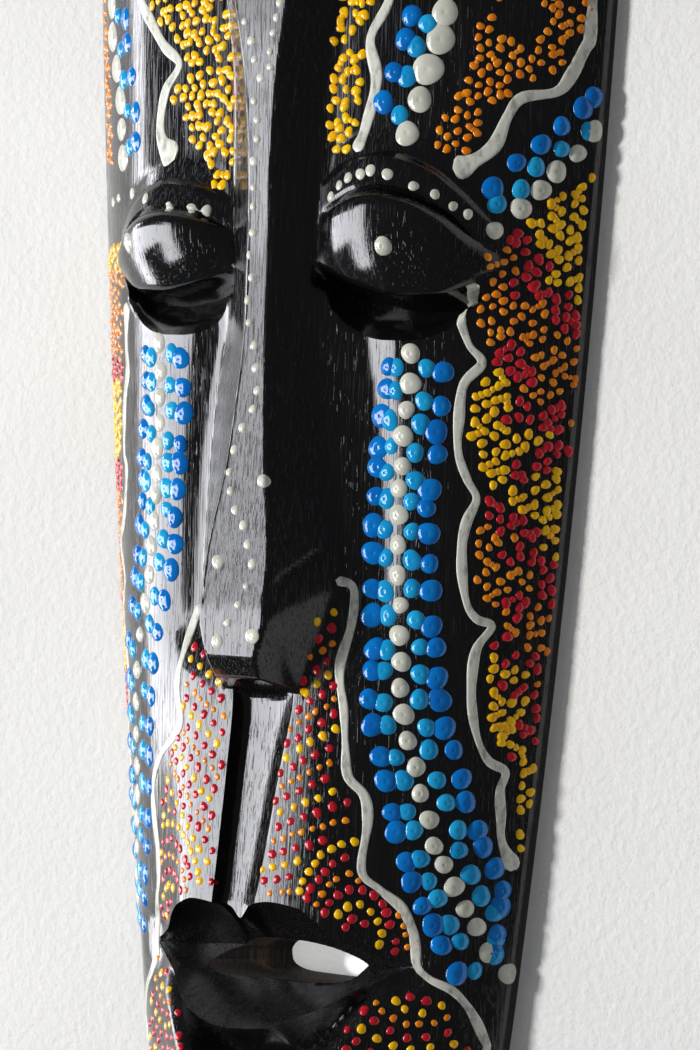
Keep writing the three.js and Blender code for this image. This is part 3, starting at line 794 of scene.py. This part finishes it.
class Paint:
    """Collects the raised dots and lines of one colour into one mesh."""

    def __init__(self, seed):
        self.random = np.random.default_rng(seed)
        self.points = []
        self.faces = []
        self.count = 0

    def add(self, points, faces):
        self.points.append(points.reshape(-1, 3))
        self.faces.append(np.asarray(faces) + self.count)
        self.count += len(self.points[-1])

    def dots(self, places, radius, height, profile=SMALL_DOME, segments=10, wobble=0.06):
        """A dome of paint at every place, standing square on the surface."""
        places = np.asarray(places, float).reshape(-1, 2)
        count = len(places)
        if count == 0:
            return
        radius = radius * self.random.uniform(0.86, 1.12, count)
        height = height * self.random.uniform(0.8, 1.15, count)
        turn = self.random.uniform(0, 2 * math.pi, (3, count))
        x, y = places.T
        centre = np.stack([x, y, face(x, y)], -1)
        normal = surface_normal(x, y)
        east = unit(np.cross([0.0, 1.0, 0.0], normal))
        north = np.cross(normal, east)
        angle = np.arange(segments) / segments * 2 * math.pi
        reach, lift = np.array(profile[1:]).T
        shape = 1 + wobble * np.sin(2 * angle + turn[0][:, None])
        shape = shape + 0.6 * wobble * np.sin(3 * angle + turn[1][:, None])
        across = radius[:, None, None] * reach[:, None] * shape[:, None]
        around = np.cos(angle)[:, None] * east[:, None] + np.sin(angle)[:, None] * north[:, None]
        spot = centre[:, None, None] + across[..., None] * around[:, None]
        spot[..., 2] = face(spot[..., 0], spot[..., 1])
        spot += normal[:, None, None] * (height[:, None] * lift)[..., None, None]
        top = centre + normal * (height * profile[0][1])[:, None]
        rings = len(reach)
        points = np.concatenate([top[:, None], spot.reshape(count, -1, 3)], 1)
        step = np.arange(segments)
        ahead = (step + 1) % segments
        cap = np.stack([np.zeros(segments, int), 1 + step, 1 + ahead, 1 + ahead], -1)
        band = np.stack([step, segments + step, segments + ahead, ahead], -1)
        block = np.concatenate([cap, *(band + 1 + k * segments for k in range(rings - 1))])
        size = 1 + rings * segments
        self.add(points, (block[None] + (np.arange(count) * size)[:, None, None]).reshape(-1, 4))

    def large(self, places, radius, wobble=0.05):
        """Thick dots with a dimple on top."""
        self.dots(places, radius, LARGE_HEIGHT, LARGE_DOME, 24, wobble)

    def line(self, route, width, start, end):
        """A poured line of paint with a rounded blob at each end."""
        x, y = spline(route).T
        reach = half_width(y) - width
        x = np.clip(x, -reach, reach)
        centre = np.stack([x, y, face(x, y)], -1)
        ahead = unit(np.gradient(centre, axis=0))
        normal = unit(surface_normal(x, y, 1.2))
        side = unit(np.cross(ahead, normal))
        run = np.concatenate([[0], np.cumsum(np.linalg.norm(np.diff(centre, axis=0), axis=1))])
        rest = run[-1] - run
        phase = self.random.uniform(0, 6, 3)
        half = 0.5 * width * (1 + 0.16 * np.sin(run / 6.3 + phase[0]) + 0.12 * np.sin(run / 2.3 + phase[1]))
        half = half + 0.5 * (start - width) * np.exp(-(run / BLOB_REACH) ** 2)
        half = half + 0.5 * (end - width) * np.exp(-(rest / BLOB_REACH) ** 2)
        for gap, blob in ((run, start), (rest, end)):
            near = np.clip(gap / (0.5 * blob), 0, 1)
            half = half * np.sqrt(np.maximum(1 - (1 - near) ** 2, 0.0004))
        s = -np.cos(np.linspace(0, math.pi, 13))
        lift = (1 - s**2) ** 0.4 - 0.22 * (1 - s**2) ** 3 - 0.1
        spot = centre[:, None] + side[:, None] * (half[:, None] * s[None])[..., None]
        spot[..., 2] = face(spot[..., 0], spot[..., 1])
        rise = LINE_HEIGHT * np.minimum(1.25, half / (0.5 * width))
        rise = rise * (1 + 0.12 * np.sin(run / 3.1 + phase[2]))
        spot += normal[:, None] * (rise[:, None] * lift[None])[..., None]
        _, quads = grid_quads(*spot.shape[:2])
        self.add(spot, quads)

    def build(self, name, material):
        faces = [tuple(dict.fromkeys(f)) for f in np.concatenate(self.faces).tolist()]
        obj = new_object(name, np.concatenate(self.points), faces)
        obj.data.polygons.foreach_set("use_smooth", np.ones(len(faces), bool))
        obj.data.materials.append(material)
        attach(obj, "root")


def spline(points, step=0.6):
    """Places about a step apart on a smooth curve through the points."""
    p = np.array(points, float)
    p = np.concatenate([[2 * p[0] - p[1]], p, [2 * p[-1] - p[-2]]])
    out = []
    for a, b, c, d in zip(p, p[1:], p[2:], p[3:]):
        t = np.linspace(0, 1, max(2, int(np.hypot(*(c - b)) / step)), endpoint=False)[:, None]
        out.append(0.5 * (2 * b + (c - a) * t + (2 * a - 5 * b + 4 * c - d) * t**2
                          + (3 * b - a - 3 * c + d) * t**3))
    return np.concatenate([*out, p[-2:-1]])


def within(outline, places):
    """True for each place inside a closed outline."""
    x, y = np.asarray(places, float).T
    inside = np.zeros(len(x), bool)
    for (x0, y0), (x1, y1) in zip(outline, outline[1:] + outline[:1]):
        if y0 != y1:
            crosses = (y0 > y) != (y1 > y)
            inside ^= crosses & (x < x0 + (y - y0) * (x1 - x0) / (y1 - y0))
    return inside


def clear_of(places, taken, gap):
    """True for each place at least a gap away from every place already taken."""
    taken = np.asarray(taken, float).reshape(-1, 2)
    if len(taken) == 0:
        return np.ones(len(places), bool)
    far = np.hypot(places[:, None, 0] - taken[None, :, 0], places[:, None, 1] - taken[None, :, 1])
    return far.min(1) > gap


def round_the_side(spots):
    """Places measured over the curve of the face, moved to where they lie across it."""
    u = np.linspace(0, 1, 201)
    slope = (VAULT_HEIGHT - RIM_WALL) * VAULT_POWER / 82 * u ** (VAULT_POWER - 1)
    run = np.concatenate([[0], np.cumsum(np.hypot(1, slope[1:]) / 200)])
    x, y = spots.T
    width = half_width(y)
    return np.stack([np.sign(x) * width * np.interp(np.abs(x) / width, run, u), y], -1)


def scatter(keep, low, high, spacing, seed):
    """Places that pass the test on an even but unruly spread, about the spacing apart."""
    random = np.random.default_rng(seed)
    reach = 30 + np.hypot(high[0] - low[0], high[1] - low[1])
    steps = int(reach / spacing) + 2
    column, row = np.meshgrid(np.arange(-steps, steps), np.arange(-steps, steps))
    spots = np.stack([(column + 0.5 * (row % 2)) * spacing, row * spacing * 0.87], -1).reshape(-1, 2)
    spots += random.normal(0, 0.13 * spacing, spots.shape)
    turn = random.uniform(0, 1)
    spots = spots @ np.array([[math.cos(turn), math.sin(turn)], [-math.sin(turn), math.cos(turn)]])
    spots += ((low[0] + high[0]) / 2, (low[1] + high[1]) / 2)
    spots = round_the_side(spots)
    spots = spots[(spots[:, 0] > low[0]) & (spots[:, 0] < high[0])]
    spots = spots[(spots[:, 1] > low[1]) & (spots[:, 1] < high[1])]
    spots = spots[keep(spots)]
    return spots[random.uniform(size=len(spots)) > 0.04]


def along(path, step, random):
    """Places a step apart along a dense path, each a little off it."""
    run = np.concatenate([[0], np.cumsum(np.hypot(*np.diff(path, axis=0).T))])
    at = np.arange(random.uniform(0, step), run[-1], step)
    spots = np.stack([np.interp(at, run, path[:, 0]), np.interp(at, run, path[:, 1])], -1)
    return spots + random.normal(0, 0.22, spots.shape)


def ranked(rows, outline, cycle, seed, taken, step=None):
    """Rows of dots clipped to an outline, their colours in turn."""
    random = np.random.default_rng(seed)
    out = {"red": [], "yellow": [], "orange": []}
    for k, row in enumerate(rows):
        colour = cycle[k % len(cycle)]
        spots = along(row, step or ROW_STEP[colour], random)
        spots = spots[within(outline, spots)]
        spots = spots[clear_of(spots, taken, 2.3)]
        out[colour].extend(spots.tolist())
        taken.extend(spots.tolist())
    return out


def arc(centre, radius, stretch=1.0):
    angle = np.linspace(0, 2 * math.pi, 200)
    return np.stack([centre[0] + radius * np.cos(angle), centre[1] + stretch * radius * np.sin(angle)], -1)


def sloping(side, middle, depth):
    """One row of the muzzle: it rises away from the middle groove, less and less so down the right side."""
    if side > 0:
        slope = np.clip(0.5 + 0.01 * (depth + 92), 0.1, 0.9)
    else:
        slope = np.clip(0.6 - 0.012 * (depth + 80), 0.5, 1.5)
    x = np.linspace(0, 45, 60)
    return np.stack([side * x, depth + slope * (x - middle)], -1)


def muzzle_dots(side, outline, seed):
    taken = []
    near = [arc((side * 30, -133), r, 1.6) for r in (2.4, 5, 7.6, 10.2, 12.8, 15.4)]
    far = [sloping(side, 16, depth) for depth in np.arange(-44, -165, -3.9)]
    cycle = ("red", "yellow", "red", "orange", "red", "yellow")
    out = ranked(near, outline, cycle, seed, taken, NEAR_ROW_STEP)
    rows = ranked(far, outline, ("orange", "red", "yellow", "red"), seed + 1, taken)
    return {colour: out[colour] + rows[colour] for colour in out}


def chin_dots(centre, outline, seed):
    rows = [arc(centre, r) for r in np.arange(3.4, 75, 3.2)]
    return ranked(rows, outline, ("red", "yellow", "orange", "red", "yellow", "red"), seed, [])


def line_places():
    return np.concatenate([spline(route, 1.5) for route, _, _, _ in LINES])


def rim_edge(y):
    return half_width(y) - 0.5


def temple_line(x):
    """Lower edge of the diagonal chain on the right temple."""
    return 50 + (x - 59) * 1.1


def right_rim_places(lines):
    def keep(p):
        x, y = p.T
        inside = (x > table(RIM_LINE_RIGHT, y)) & (x < rim_edge(y)) & (y < temple_line(x)) & (y < 80)
        return inside & clear_of(p, lines, 2.6)

    return scatter(keep, (52, -113), (84, 80), RIM_SPACING, 11)


def left_rim_places(lines):
    def keep(p):
        x, y = p.T
        return (x < table(RIM_LINE_LEFT, y)) & (x > -rim_edge(y)) & clear_of(p, lines, 3.0)

    return scatter(keep, (-84, -113), (-56, 50), RIM_SPACING, 12)


def nearest_mark(places):
    names = [name for name, marks in RIM_MARKS.items() for _ in marks]
    marks = np.array([mark for marks in RIM_MARKS.values() for mark in marks], float)
    near = np.argmin(np.sum((places[:, None] - marks[None]) ** 2, -1), 1)
    return np.array(names)[near]


def band_of(places):
    names = []
    for y in places[:, 1]:
        names.append(next((name for level, name in RIM_LEFT_BANDS if y > level), "yellow"))
    return np.array(names)


def open_field(outline, spacing, seed, lines, chains):
    def keep(p):
        clear = within(outline, p) & clear_of(p, lines, 2.8) & clear_of(p, chains, 5.2)
        for x, y, radius in BARE_SPOTS:
            clear &= np.hypot(p[:, 0] - x, p[:, 1] - y) > radius
        return clear & (np.abs(p[:, 0]) < rim_edge(p[:, 1]))

    corners = np.array(outline, float)
    return scatter(keep, corners.min(0), corners.max(0), spacing, seed)


def joined(places, gap, share, seed):
    """Places halfway between some close neighbours, where two dots have run together."""
    random = np.random.default_rng(seed)
    places = np.asarray(places, float).reshape(-1, 2)
    out = []
    for i, spot in enumerate(places):
        far = np.hypot(*(places[i + 1:] - spot).T)
        for j in np.nonzero(far < gap)[0][:1]:
            if random.uniform() < share:
                out.append((spot + places[i + 1 + j]) / 2)
    return out


def beside(chain, start, end, seed, rise=0.0):
    """Places between the dots of a chain, set off to one side by more and more along it."""
    random = np.random.default_rng(seed)
    chain = np.array(chain, float)
    middle = (chain[1:] + chain[:-1]) / 2
    ahead = unit(np.diff(chain, axis=0))
    side = np.stack([-ahead[:, 1], ahead[:, 0]], -1)
    places = middle + side * np.linspace(start, end, len(middle))[:, None]
    places += random.normal(0, 0.45, places.shape) + (0, rise)
    limit = half_width(places[:, 1]) - 3.4
    places[:, 0] = np.clip(places[:, 0], -limit, limit)
    return places


# The pieces of paint
def white_dots():
    paint = Paint(1)
    paint.large([*CHEEK_RIGHT, *CHEEK_LEFT, *TEMPLE_WHITE], WHITE_RADIUS)
    paint.large([*FOREHEAD_RIGHT, *FOREHEAD_LEFT], LARGE_WHITE_RADIUS, 0.04)
    paint.large(PUPILS, PUPIL_RADIUS, 0.04)
    paint.dots([*RIDGE_LEFT, *RIDGE_RIGHT], 1.25, 0.45, SMALL_DOME, 12)
    paint.dots(RIDGE_LARGE, 2.1, 0.6, LARGE_DOME, 18, 0.05)
    paint.dots([*BROW_RIGHT, *BROW_LEFT], 1.5, 0.45, SMALL_DOME, 14)
    paint.build("white_dots", white_paint())


def white_lines():
    paint = Paint(2)
    for route in LINES:
        paint.line(*route)
    paint.build("white_lines", line_paint())


def blue_dots(paint, radius, gaps, rise, seed, temple):
    """Dots between those of every chain, set off to its left and right, and dots on the temple."""
    for k, (chain, sides) in enumerate(zip(CHAINS, gaps)):
        for side, ends in zip((1, -1), sides):
            if ends:
                places = beside(chain, side * ends[0], side * ends[1], seed + 2 * k + side, side * rise)
                paint.large(places, radius)
    paint.large(temple, radius)


def light_blue_dots():
    paint = Paint(3)
    blue_dots(paint, LIGHT_BLUE_RADIUS, LIGHT_BLUE_GAPS, 0.3, 50, TEMPLE_LIGHT)
    paint.build("light_blue_dots", light_blue_paint())


def deep_blue_dots():
    paint = Paint(4)
    blue_dots(paint, BLUE_RADIUS, BLUE_GAPS, 0.9, 70, TEMPLE_BLUE)
    paint.build("deep_blue_dots", deep_blue_paint())


def field_places():
    """All the small dots by colour: those strewn over the fields, and those set in rows."""
    lines = line_places()
    chains = [*FOREHEAD_RIGHT, *FOREHEAD_LEFT, *TEMPLE_WHITE, *TEMPLE_BLUE]
    for chain, side in ((FOREHEAD_RIGHT, 1), (FOREHEAD_LEFT, -1)):
        chains += beside(chain, side * 8.4, side * 8.4, 5).tolist()
    fields = {
        "orange": [(ORANGE_RIGHT, 3.15, 21), (ORANGE_LEFT, 3.0, 22)],
        "yellow": [(YELLOW_RIGHT, 3.0, 23), (YELLOW_LEFT, 3.25, 24)],
        "red": [],
    }
    strewn = {name: [] for name in fields}
    for name, parts in fields.items():
        for outline, spacing, seed in parts:
            strewn[name].extend(open_field(outline, spacing, seed, lines, chains))
    for places, colour_of in ((right_rim_places(lines), nearest_mark), (left_rim_places(lines), band_of)):
        names = colour_of(places)
        for name in strewn:
            strewn[name].extend(places[names == name])
    rows = {name: [] for name in fields}
    for part in (
        muzzle_dots(1, MUZZLE_RIGHT, 31),
        muzzle_dots(-1, MUZZLE_LEFT, 33),
        chin_dots((43.5, -147.7), CHIN_RIGHT, 35),
        chin_dots((-32, -148), CHIN_LEFT, 36),
    ):
        for name in rows:
            rows[name].extend(part[name])
    return {name: (np.array(strewn[name]), np.array(rows[name])) for name in fields}


def field_dots(name, places, seed, material):
    paint = Paint(seed)
    strewn, rows = places
    radius = FIELD_RADIUS[name]
    height = SMALL_HEIGHT * radius
    paint.dots(strewn, radius, height, SMALL_DOME, 10, 0.12)
    paint.dots(rows, ROW_RADIUS[name], height, SMALL_DOME, 10, 0.08)
    between = joined(strewn, JOIN_REACH * radius, JOIN_SHARE[name], seed)
    paint.dots(between, 0.75 * radius, 0.9 * SMALL_HEIGHT * radius, SMALL_DOME, 8, 0.1)
    paint.build(name + "_dots", material)


# Looks
def linear(*levels):
    """A colour given as 0 to 255 screen levels."""
    out = [(v / 255 / 12.92) if v < 10.3 else ((v / 255 + 0.055) / 1.055) ** 2.4 for v in levels]
    return (*out, 1.0)


class Look:
    """A material in the making, with short ways to add its nodes."""

    def __init__(self, name):
        self.material = bpy.data.materials.new(name)
        self.material.use_nodes = True
        self.tree = self.material.node_tree
        self.shader = self.tree.nodes["Principled BSDF"]

    def set(self, socket, value):
        """Sets an input to a value, or links another node's output to it."""
        if isinstance(value, bpy.types.NodeSocket):
            self.tree.links.new(value, socket)
        else:
            socket.default_value = value

    def add(self, kind, inputs, **settings):
        """The outputs of a new node, once its settings and inputs are set."""
        node = self.tree.nodes.new("ShaderNode" + kind)
        for name, value in settings.items():
            setattr(node, name, value)
        for name, value in inputs.items():
            self.set(node.inputs[name], value)
        return node.outputs

    def place(self, scale, shift=(0, 0, 0)):
        """The object's own place, scaled and then shifted."""
        where = self.add("TexCoord", {})["Object"]
        return self.add("Mapping", {"Vector": where, "Scale": scale, "Location": shift})["Vector"]

    def noise(self, scale, detail=3.0, rough=0.5):
        """Noise by the object's own place in millimetres, stretched by the scale on each axis."""
        spot = self.place(tuple(1000 * s for s in scale))
        inputs = {"Vector": spot, "Scale": 1.0, "Detail": detail, "Roughness": rough}
        return self.add("TexNoise", inputs)["Fac"]

    def spread(self, value, low, high, out_low=0, out_high=1):
        """The value spread from one range to another, held at the ends."""
        ends = {"From Min": low, "From Max": high, "To Min": out_low, "To Max": out_high}
        return self.add("MapRange", {"Value": value, **ends})["Result"]

    def bump(self, value, distance, strength, under=None):
        """Bump of a height value, on top of another bump if one is given."""
        inputs = {"Height": value, "Distance": distance, "Strength": strength}
        if under is not None:
            inputs["Normal"] = under
        return self.add("Bump", inputs)["Normal"]

    def blend(self, amount, first, second):
        """A mix of two colours, each given as a value or as another node's output."""
        return self.add("Mix", {0: amount, 6: first, 7: second}, data_type="RGBA")[2]

    def combine(self, operation, first, second):
        return self.add("Math", {0: first, 1: second}, operation=operation)["Value"]

    def near_ellipse(self, centre, reach):
        """1 within an ellipse seen from the front, falling to 0 outside it; sizes in millimetres."""
        (x, y), (wide, high) = centre, reach
        spot = self.place((1 / MM / wide, 1 / MM / high, 0), (-x / wide, -y / high, 0))
        length = self.add("VectorMath", {0: spot}, operation="LENGTH")["Value"]
        return self.spread(length, 0.85, 1.15, 1, 0)

    def finish(self, colour, roughness, normal):
        """Gives the shader its colour, roughness and bump."""
        self.set(self.shader.inputs["Base Color"], colour)
        self.set(self.shader.inputs["Roughness"], roughness)
        self.set(self.shader.inputs["Normal"], normal)
        return self.material


def black_gloss():
    """Glossy black over open grain: fine pores along the grain, brush waves and specks of dust."""
    look = Look("black gloss paint")
    pores = look.spread(look.noise((2.6, 0.13, 1.8), 2, 0.55), 0.65, 0.71)
    fibres = look.noise((1.6, 0.03, 1.0))
    waves = look.noise((0.1, 0.03, 0.1), 2)
    specks = look.spread(look.noise((0.8, 0.8, 0.8), 1), 0.76, 0.8)
    normal = look.bump(waves, 0.0004, 0.3)
    normal = look.bump(fibres, 0.00009, 0.5, normal)
    normal = look.bump(pores, -0.00012, 0.42, normal)
    normal = look.bump(specks, 0.0001, 0.5, normal)

    grain = look.spread(look.noise((3.2, 0.06, 2.2), 3, 0.6), 0.53, 0.63, 0, 0.42)
    for side in (-1, 1):
        lid = look.near_ellipse((side * EYE_CENTRE, LID_Y), LID_REACH)
        grain = look.combine("MULTIPLY", grain, look.spread(lid, 0, 1, 1, 0.25))
    lip = look.near_ellipse(*LIP_SPOT)
    dull = look.spread(look.noise((0.5, 0.5, 0.5)), 0.3, 0.7, 0.17, 0.34)
    roughness = look.combine("ADD", look.spread(fibres, 0.3, 0.75, 0.05, 0.14), grain)
    roughness = look.combine("MAXIMUM", roughness, look.combine("MULTIPLY", lip, dull))

    tint = look.spread(look.noise((0.4, 0.02, 0.4)), 0.62, 0.74, 0, 0.6)
    dust = look.spread(look.noise((1.3, 1.3, 1.3), 4, 0.7), 0.5, 0.7, 0, 0.8)
    tint = look.combine("MAXIMUM", tint, look.combine("MULTIPLY", lip, dust))
    colour = look.blend(tint, linear(11, 11, 12), linear(34, 30, 29))
    # Brown blended into the black in patches at the listed spots
    patchy_noise = look.spread(look.noise((0.5, 0.25, 0.5), 4, 0.7), 0.42, 0.55)
    for spot in BROWN_SPOTS:
        brown_spot = look.combine("MULTIPLY", look.near_ellipse(*spot), patchy_noise)
        colour = look.blend(brown_spot, colour, linear(104, 58, 34))
    look.shader.inputs["Specular IOR Level"].default_value = 0.55
    return look.finish(colour, roughness, normal)


def thin_black():
    """Thin dull black in the hollow, with the wood showing faintly along the gouge marks."""
    look = Look("thin dull black paint")
    fibres = look.noise((0.9, 0.04, 0.9), 4)
    patchy_noise = look.spread(look.noise((0.08, 0.03, 0.2), 4), 0.52, 0.7, 0, 0.7)
    colour = look.blend(patchy_noise, linear(38, 33, 30), linear(92, 74, 58))
    return look.finish(colour, look.spread(fibres, 0.3, 0.7, 0.55, 0.8), look.bump(fibres, 0.0004, 0.6))


def dot_paint(name, colour, darker):
    look = Look(name)
    patches = look.spread(look.noise((0.16, 0.16, 0.16), 2), 0.35, 0.65)
    fine = look.noise((1.1, 1.1, 1.1), 2)
    colour = look.blend(patches, linear(*darker), linear(*colour))
    return look.finish(colour, look.spread(fine, 0.3, 0.7, 0.04, 0.11), look.bump(fine, 0.0001, 0.12))


def white_paint():
    return dot_paint("white paint", (214, 214, 202), (192, 193, 182))


def line_paint():
    """White poured thin enough for the black to show through in places."""
    look = Look("thin white paint")
    thin = look.spread(look.noise((0.5, 0.22, 0.5), 4, 0.65), 0.5, 0.68, 0, 0.75)
    ripple = look.noise((0.8, 0.35, 0.8))
    colour = look.blend(thin, linear(212, 213, 203), linear(128, 130, 126))
    return look.finish(colour, look.spread(ripple, 0.3, 0.7, 0.14, 0.3), look.bump(ripple, 0.0003, 0.3))


def deep_blue_paint():
    return dot_paint("deep blue paint", (0, 122, 206), (0, 102, 188))


def light_blue_paint():
    return dot_paint("light blue paint", (30, 164, 220), (12, 142, 206))


def orange_paint():
    return dot_paint("orange paint", (238, 144, 14), (226, 122, 8))


def yellow_paint():
    return dot_paint("yellow paint", (250, 198, 8), (242, 178, 2))


def red_paint():
    return dot_paint("red paint", (200, 30, 44), (176, 18, 34))


# Floor, camera and lights
def floor_paint():
    look = Look("pale floor")
    tone = look.spread(look.noise((0.01, 0.01, 0.01)), 0.3, 0.7)
    colour = look.blend(tone, linear(222, 222, 222), linear(230, 230, 228))
    grain = look.noise((0.35, 0.35, 0.35), 4, 0.6)
    look.shader.inputs["Specular IOR Level"].default_value = 0.1
    return look.finish(colour, 0.9, look.bump(grain, 0.0012, 0.5))


def make_floor():
    half = 0.5 * FLOOR_SIZE / MM
    corners = np.array([(-half, -half, 0), (half, -half, 0), (half, half, 0), (-half, half, 0)])
    floor = new_object("floor", corners, [(0, 1, 2, 3)])
    floor.data.materials.append(floor_paint())


def make_camera():
    data = bpy.data.cameras.new("camera")
    data.lens = CAMERA_LENS
    data.sensor_width = CAMERA_SENSOR
    data.clip_start = 0.01
    camera = bpy.data.objects.new("camera", data)
    look = Vector(CAMERA_LOOK).normalized()
    side = look.cross(Vector(CAMERA_UP)).normalized()
    turn = Matrix((side, side.cross(look), -look)).transposed()
    camera.matrix_world = Matrix.Translation(CAMERA_PLACE) @ turn.to_4x4()
    bpy.context.scene.collection.objects.link(camera)
    bpy.context.scene.camera = camera


def area_light(name, place, target, size, radiance, colour):
    """A rectangle of even light; radiance 1 shows as white."""
    data = bpy.data.lights.new(name, "AREA")
    data.shape = "RECTANGLE"
    data.size, data.size_y = size
    data.energy = radiance * math.pi * size[0] * size[1]
    data.color = colour
    light = bpy.data.objects.new(name, data)
    aim = (Vector(target) - Vector(place)).normalized()
    side = Vector((0, 1, 0)).cross(-aim).normalized()
    turn = Matrix((side, (-aim).cross(side), -aim)).transposed()
    light.matrix_world = Matrix.Translation(place) @ turn.to_4x4()
    light.visible_camera = False
    bpy.context.scene.collection.objects.link(light)
    return light


def make_lights():
    world = bpy.data.worlds.new("room")
    world.use_nodes = True
    background = world.node_tree.nodes["Background"].inputs
    background["Color"].default_value = ROOM_COLOUR
    background["Strength"].default_value = ROOM_LIGHT
    bpy.context.scene.world = world
    for k, (low, high, start, end, share) in enumerate(PANELS):
        middle = math.radians((low + high) / 2)
        wide = 2 * PANEL_DISTANCE * math.tan(math.radians(high - low) / 2)
        place = Vector((-math.sin(middle), 0, math.cos(middle))) * PANEL_DISTANCE
        place.y = (start + end) / 2
        size = (wide, end - start)
        radiance = share * PANEL_LIGHT
        panel = area_light(f"window {k}", place, (0, place.y, 0), size, radiance, PANEL_COLOUR)
        panel.visible_diffuse = False
    for name, lamp in LAMPS.items():
        area_light(name, *lamp).visible_glossy = False
    bpy.context.scene.view_settings.view_transform = "Standard"


make_camera()
make_lights()
make_floor()
make_body()
white_dots()
white_lines()
light_blue_dots()
deep_blue_dots()
FIELDS = field_places()
field_dots("orange", FIELDS["orange"], 41, orange_paint())
field_dots("yellow", FIELDS["yellow"], 42, yellow_paint())
field_dots("red", FIELDS["red"], 43, red_paint())
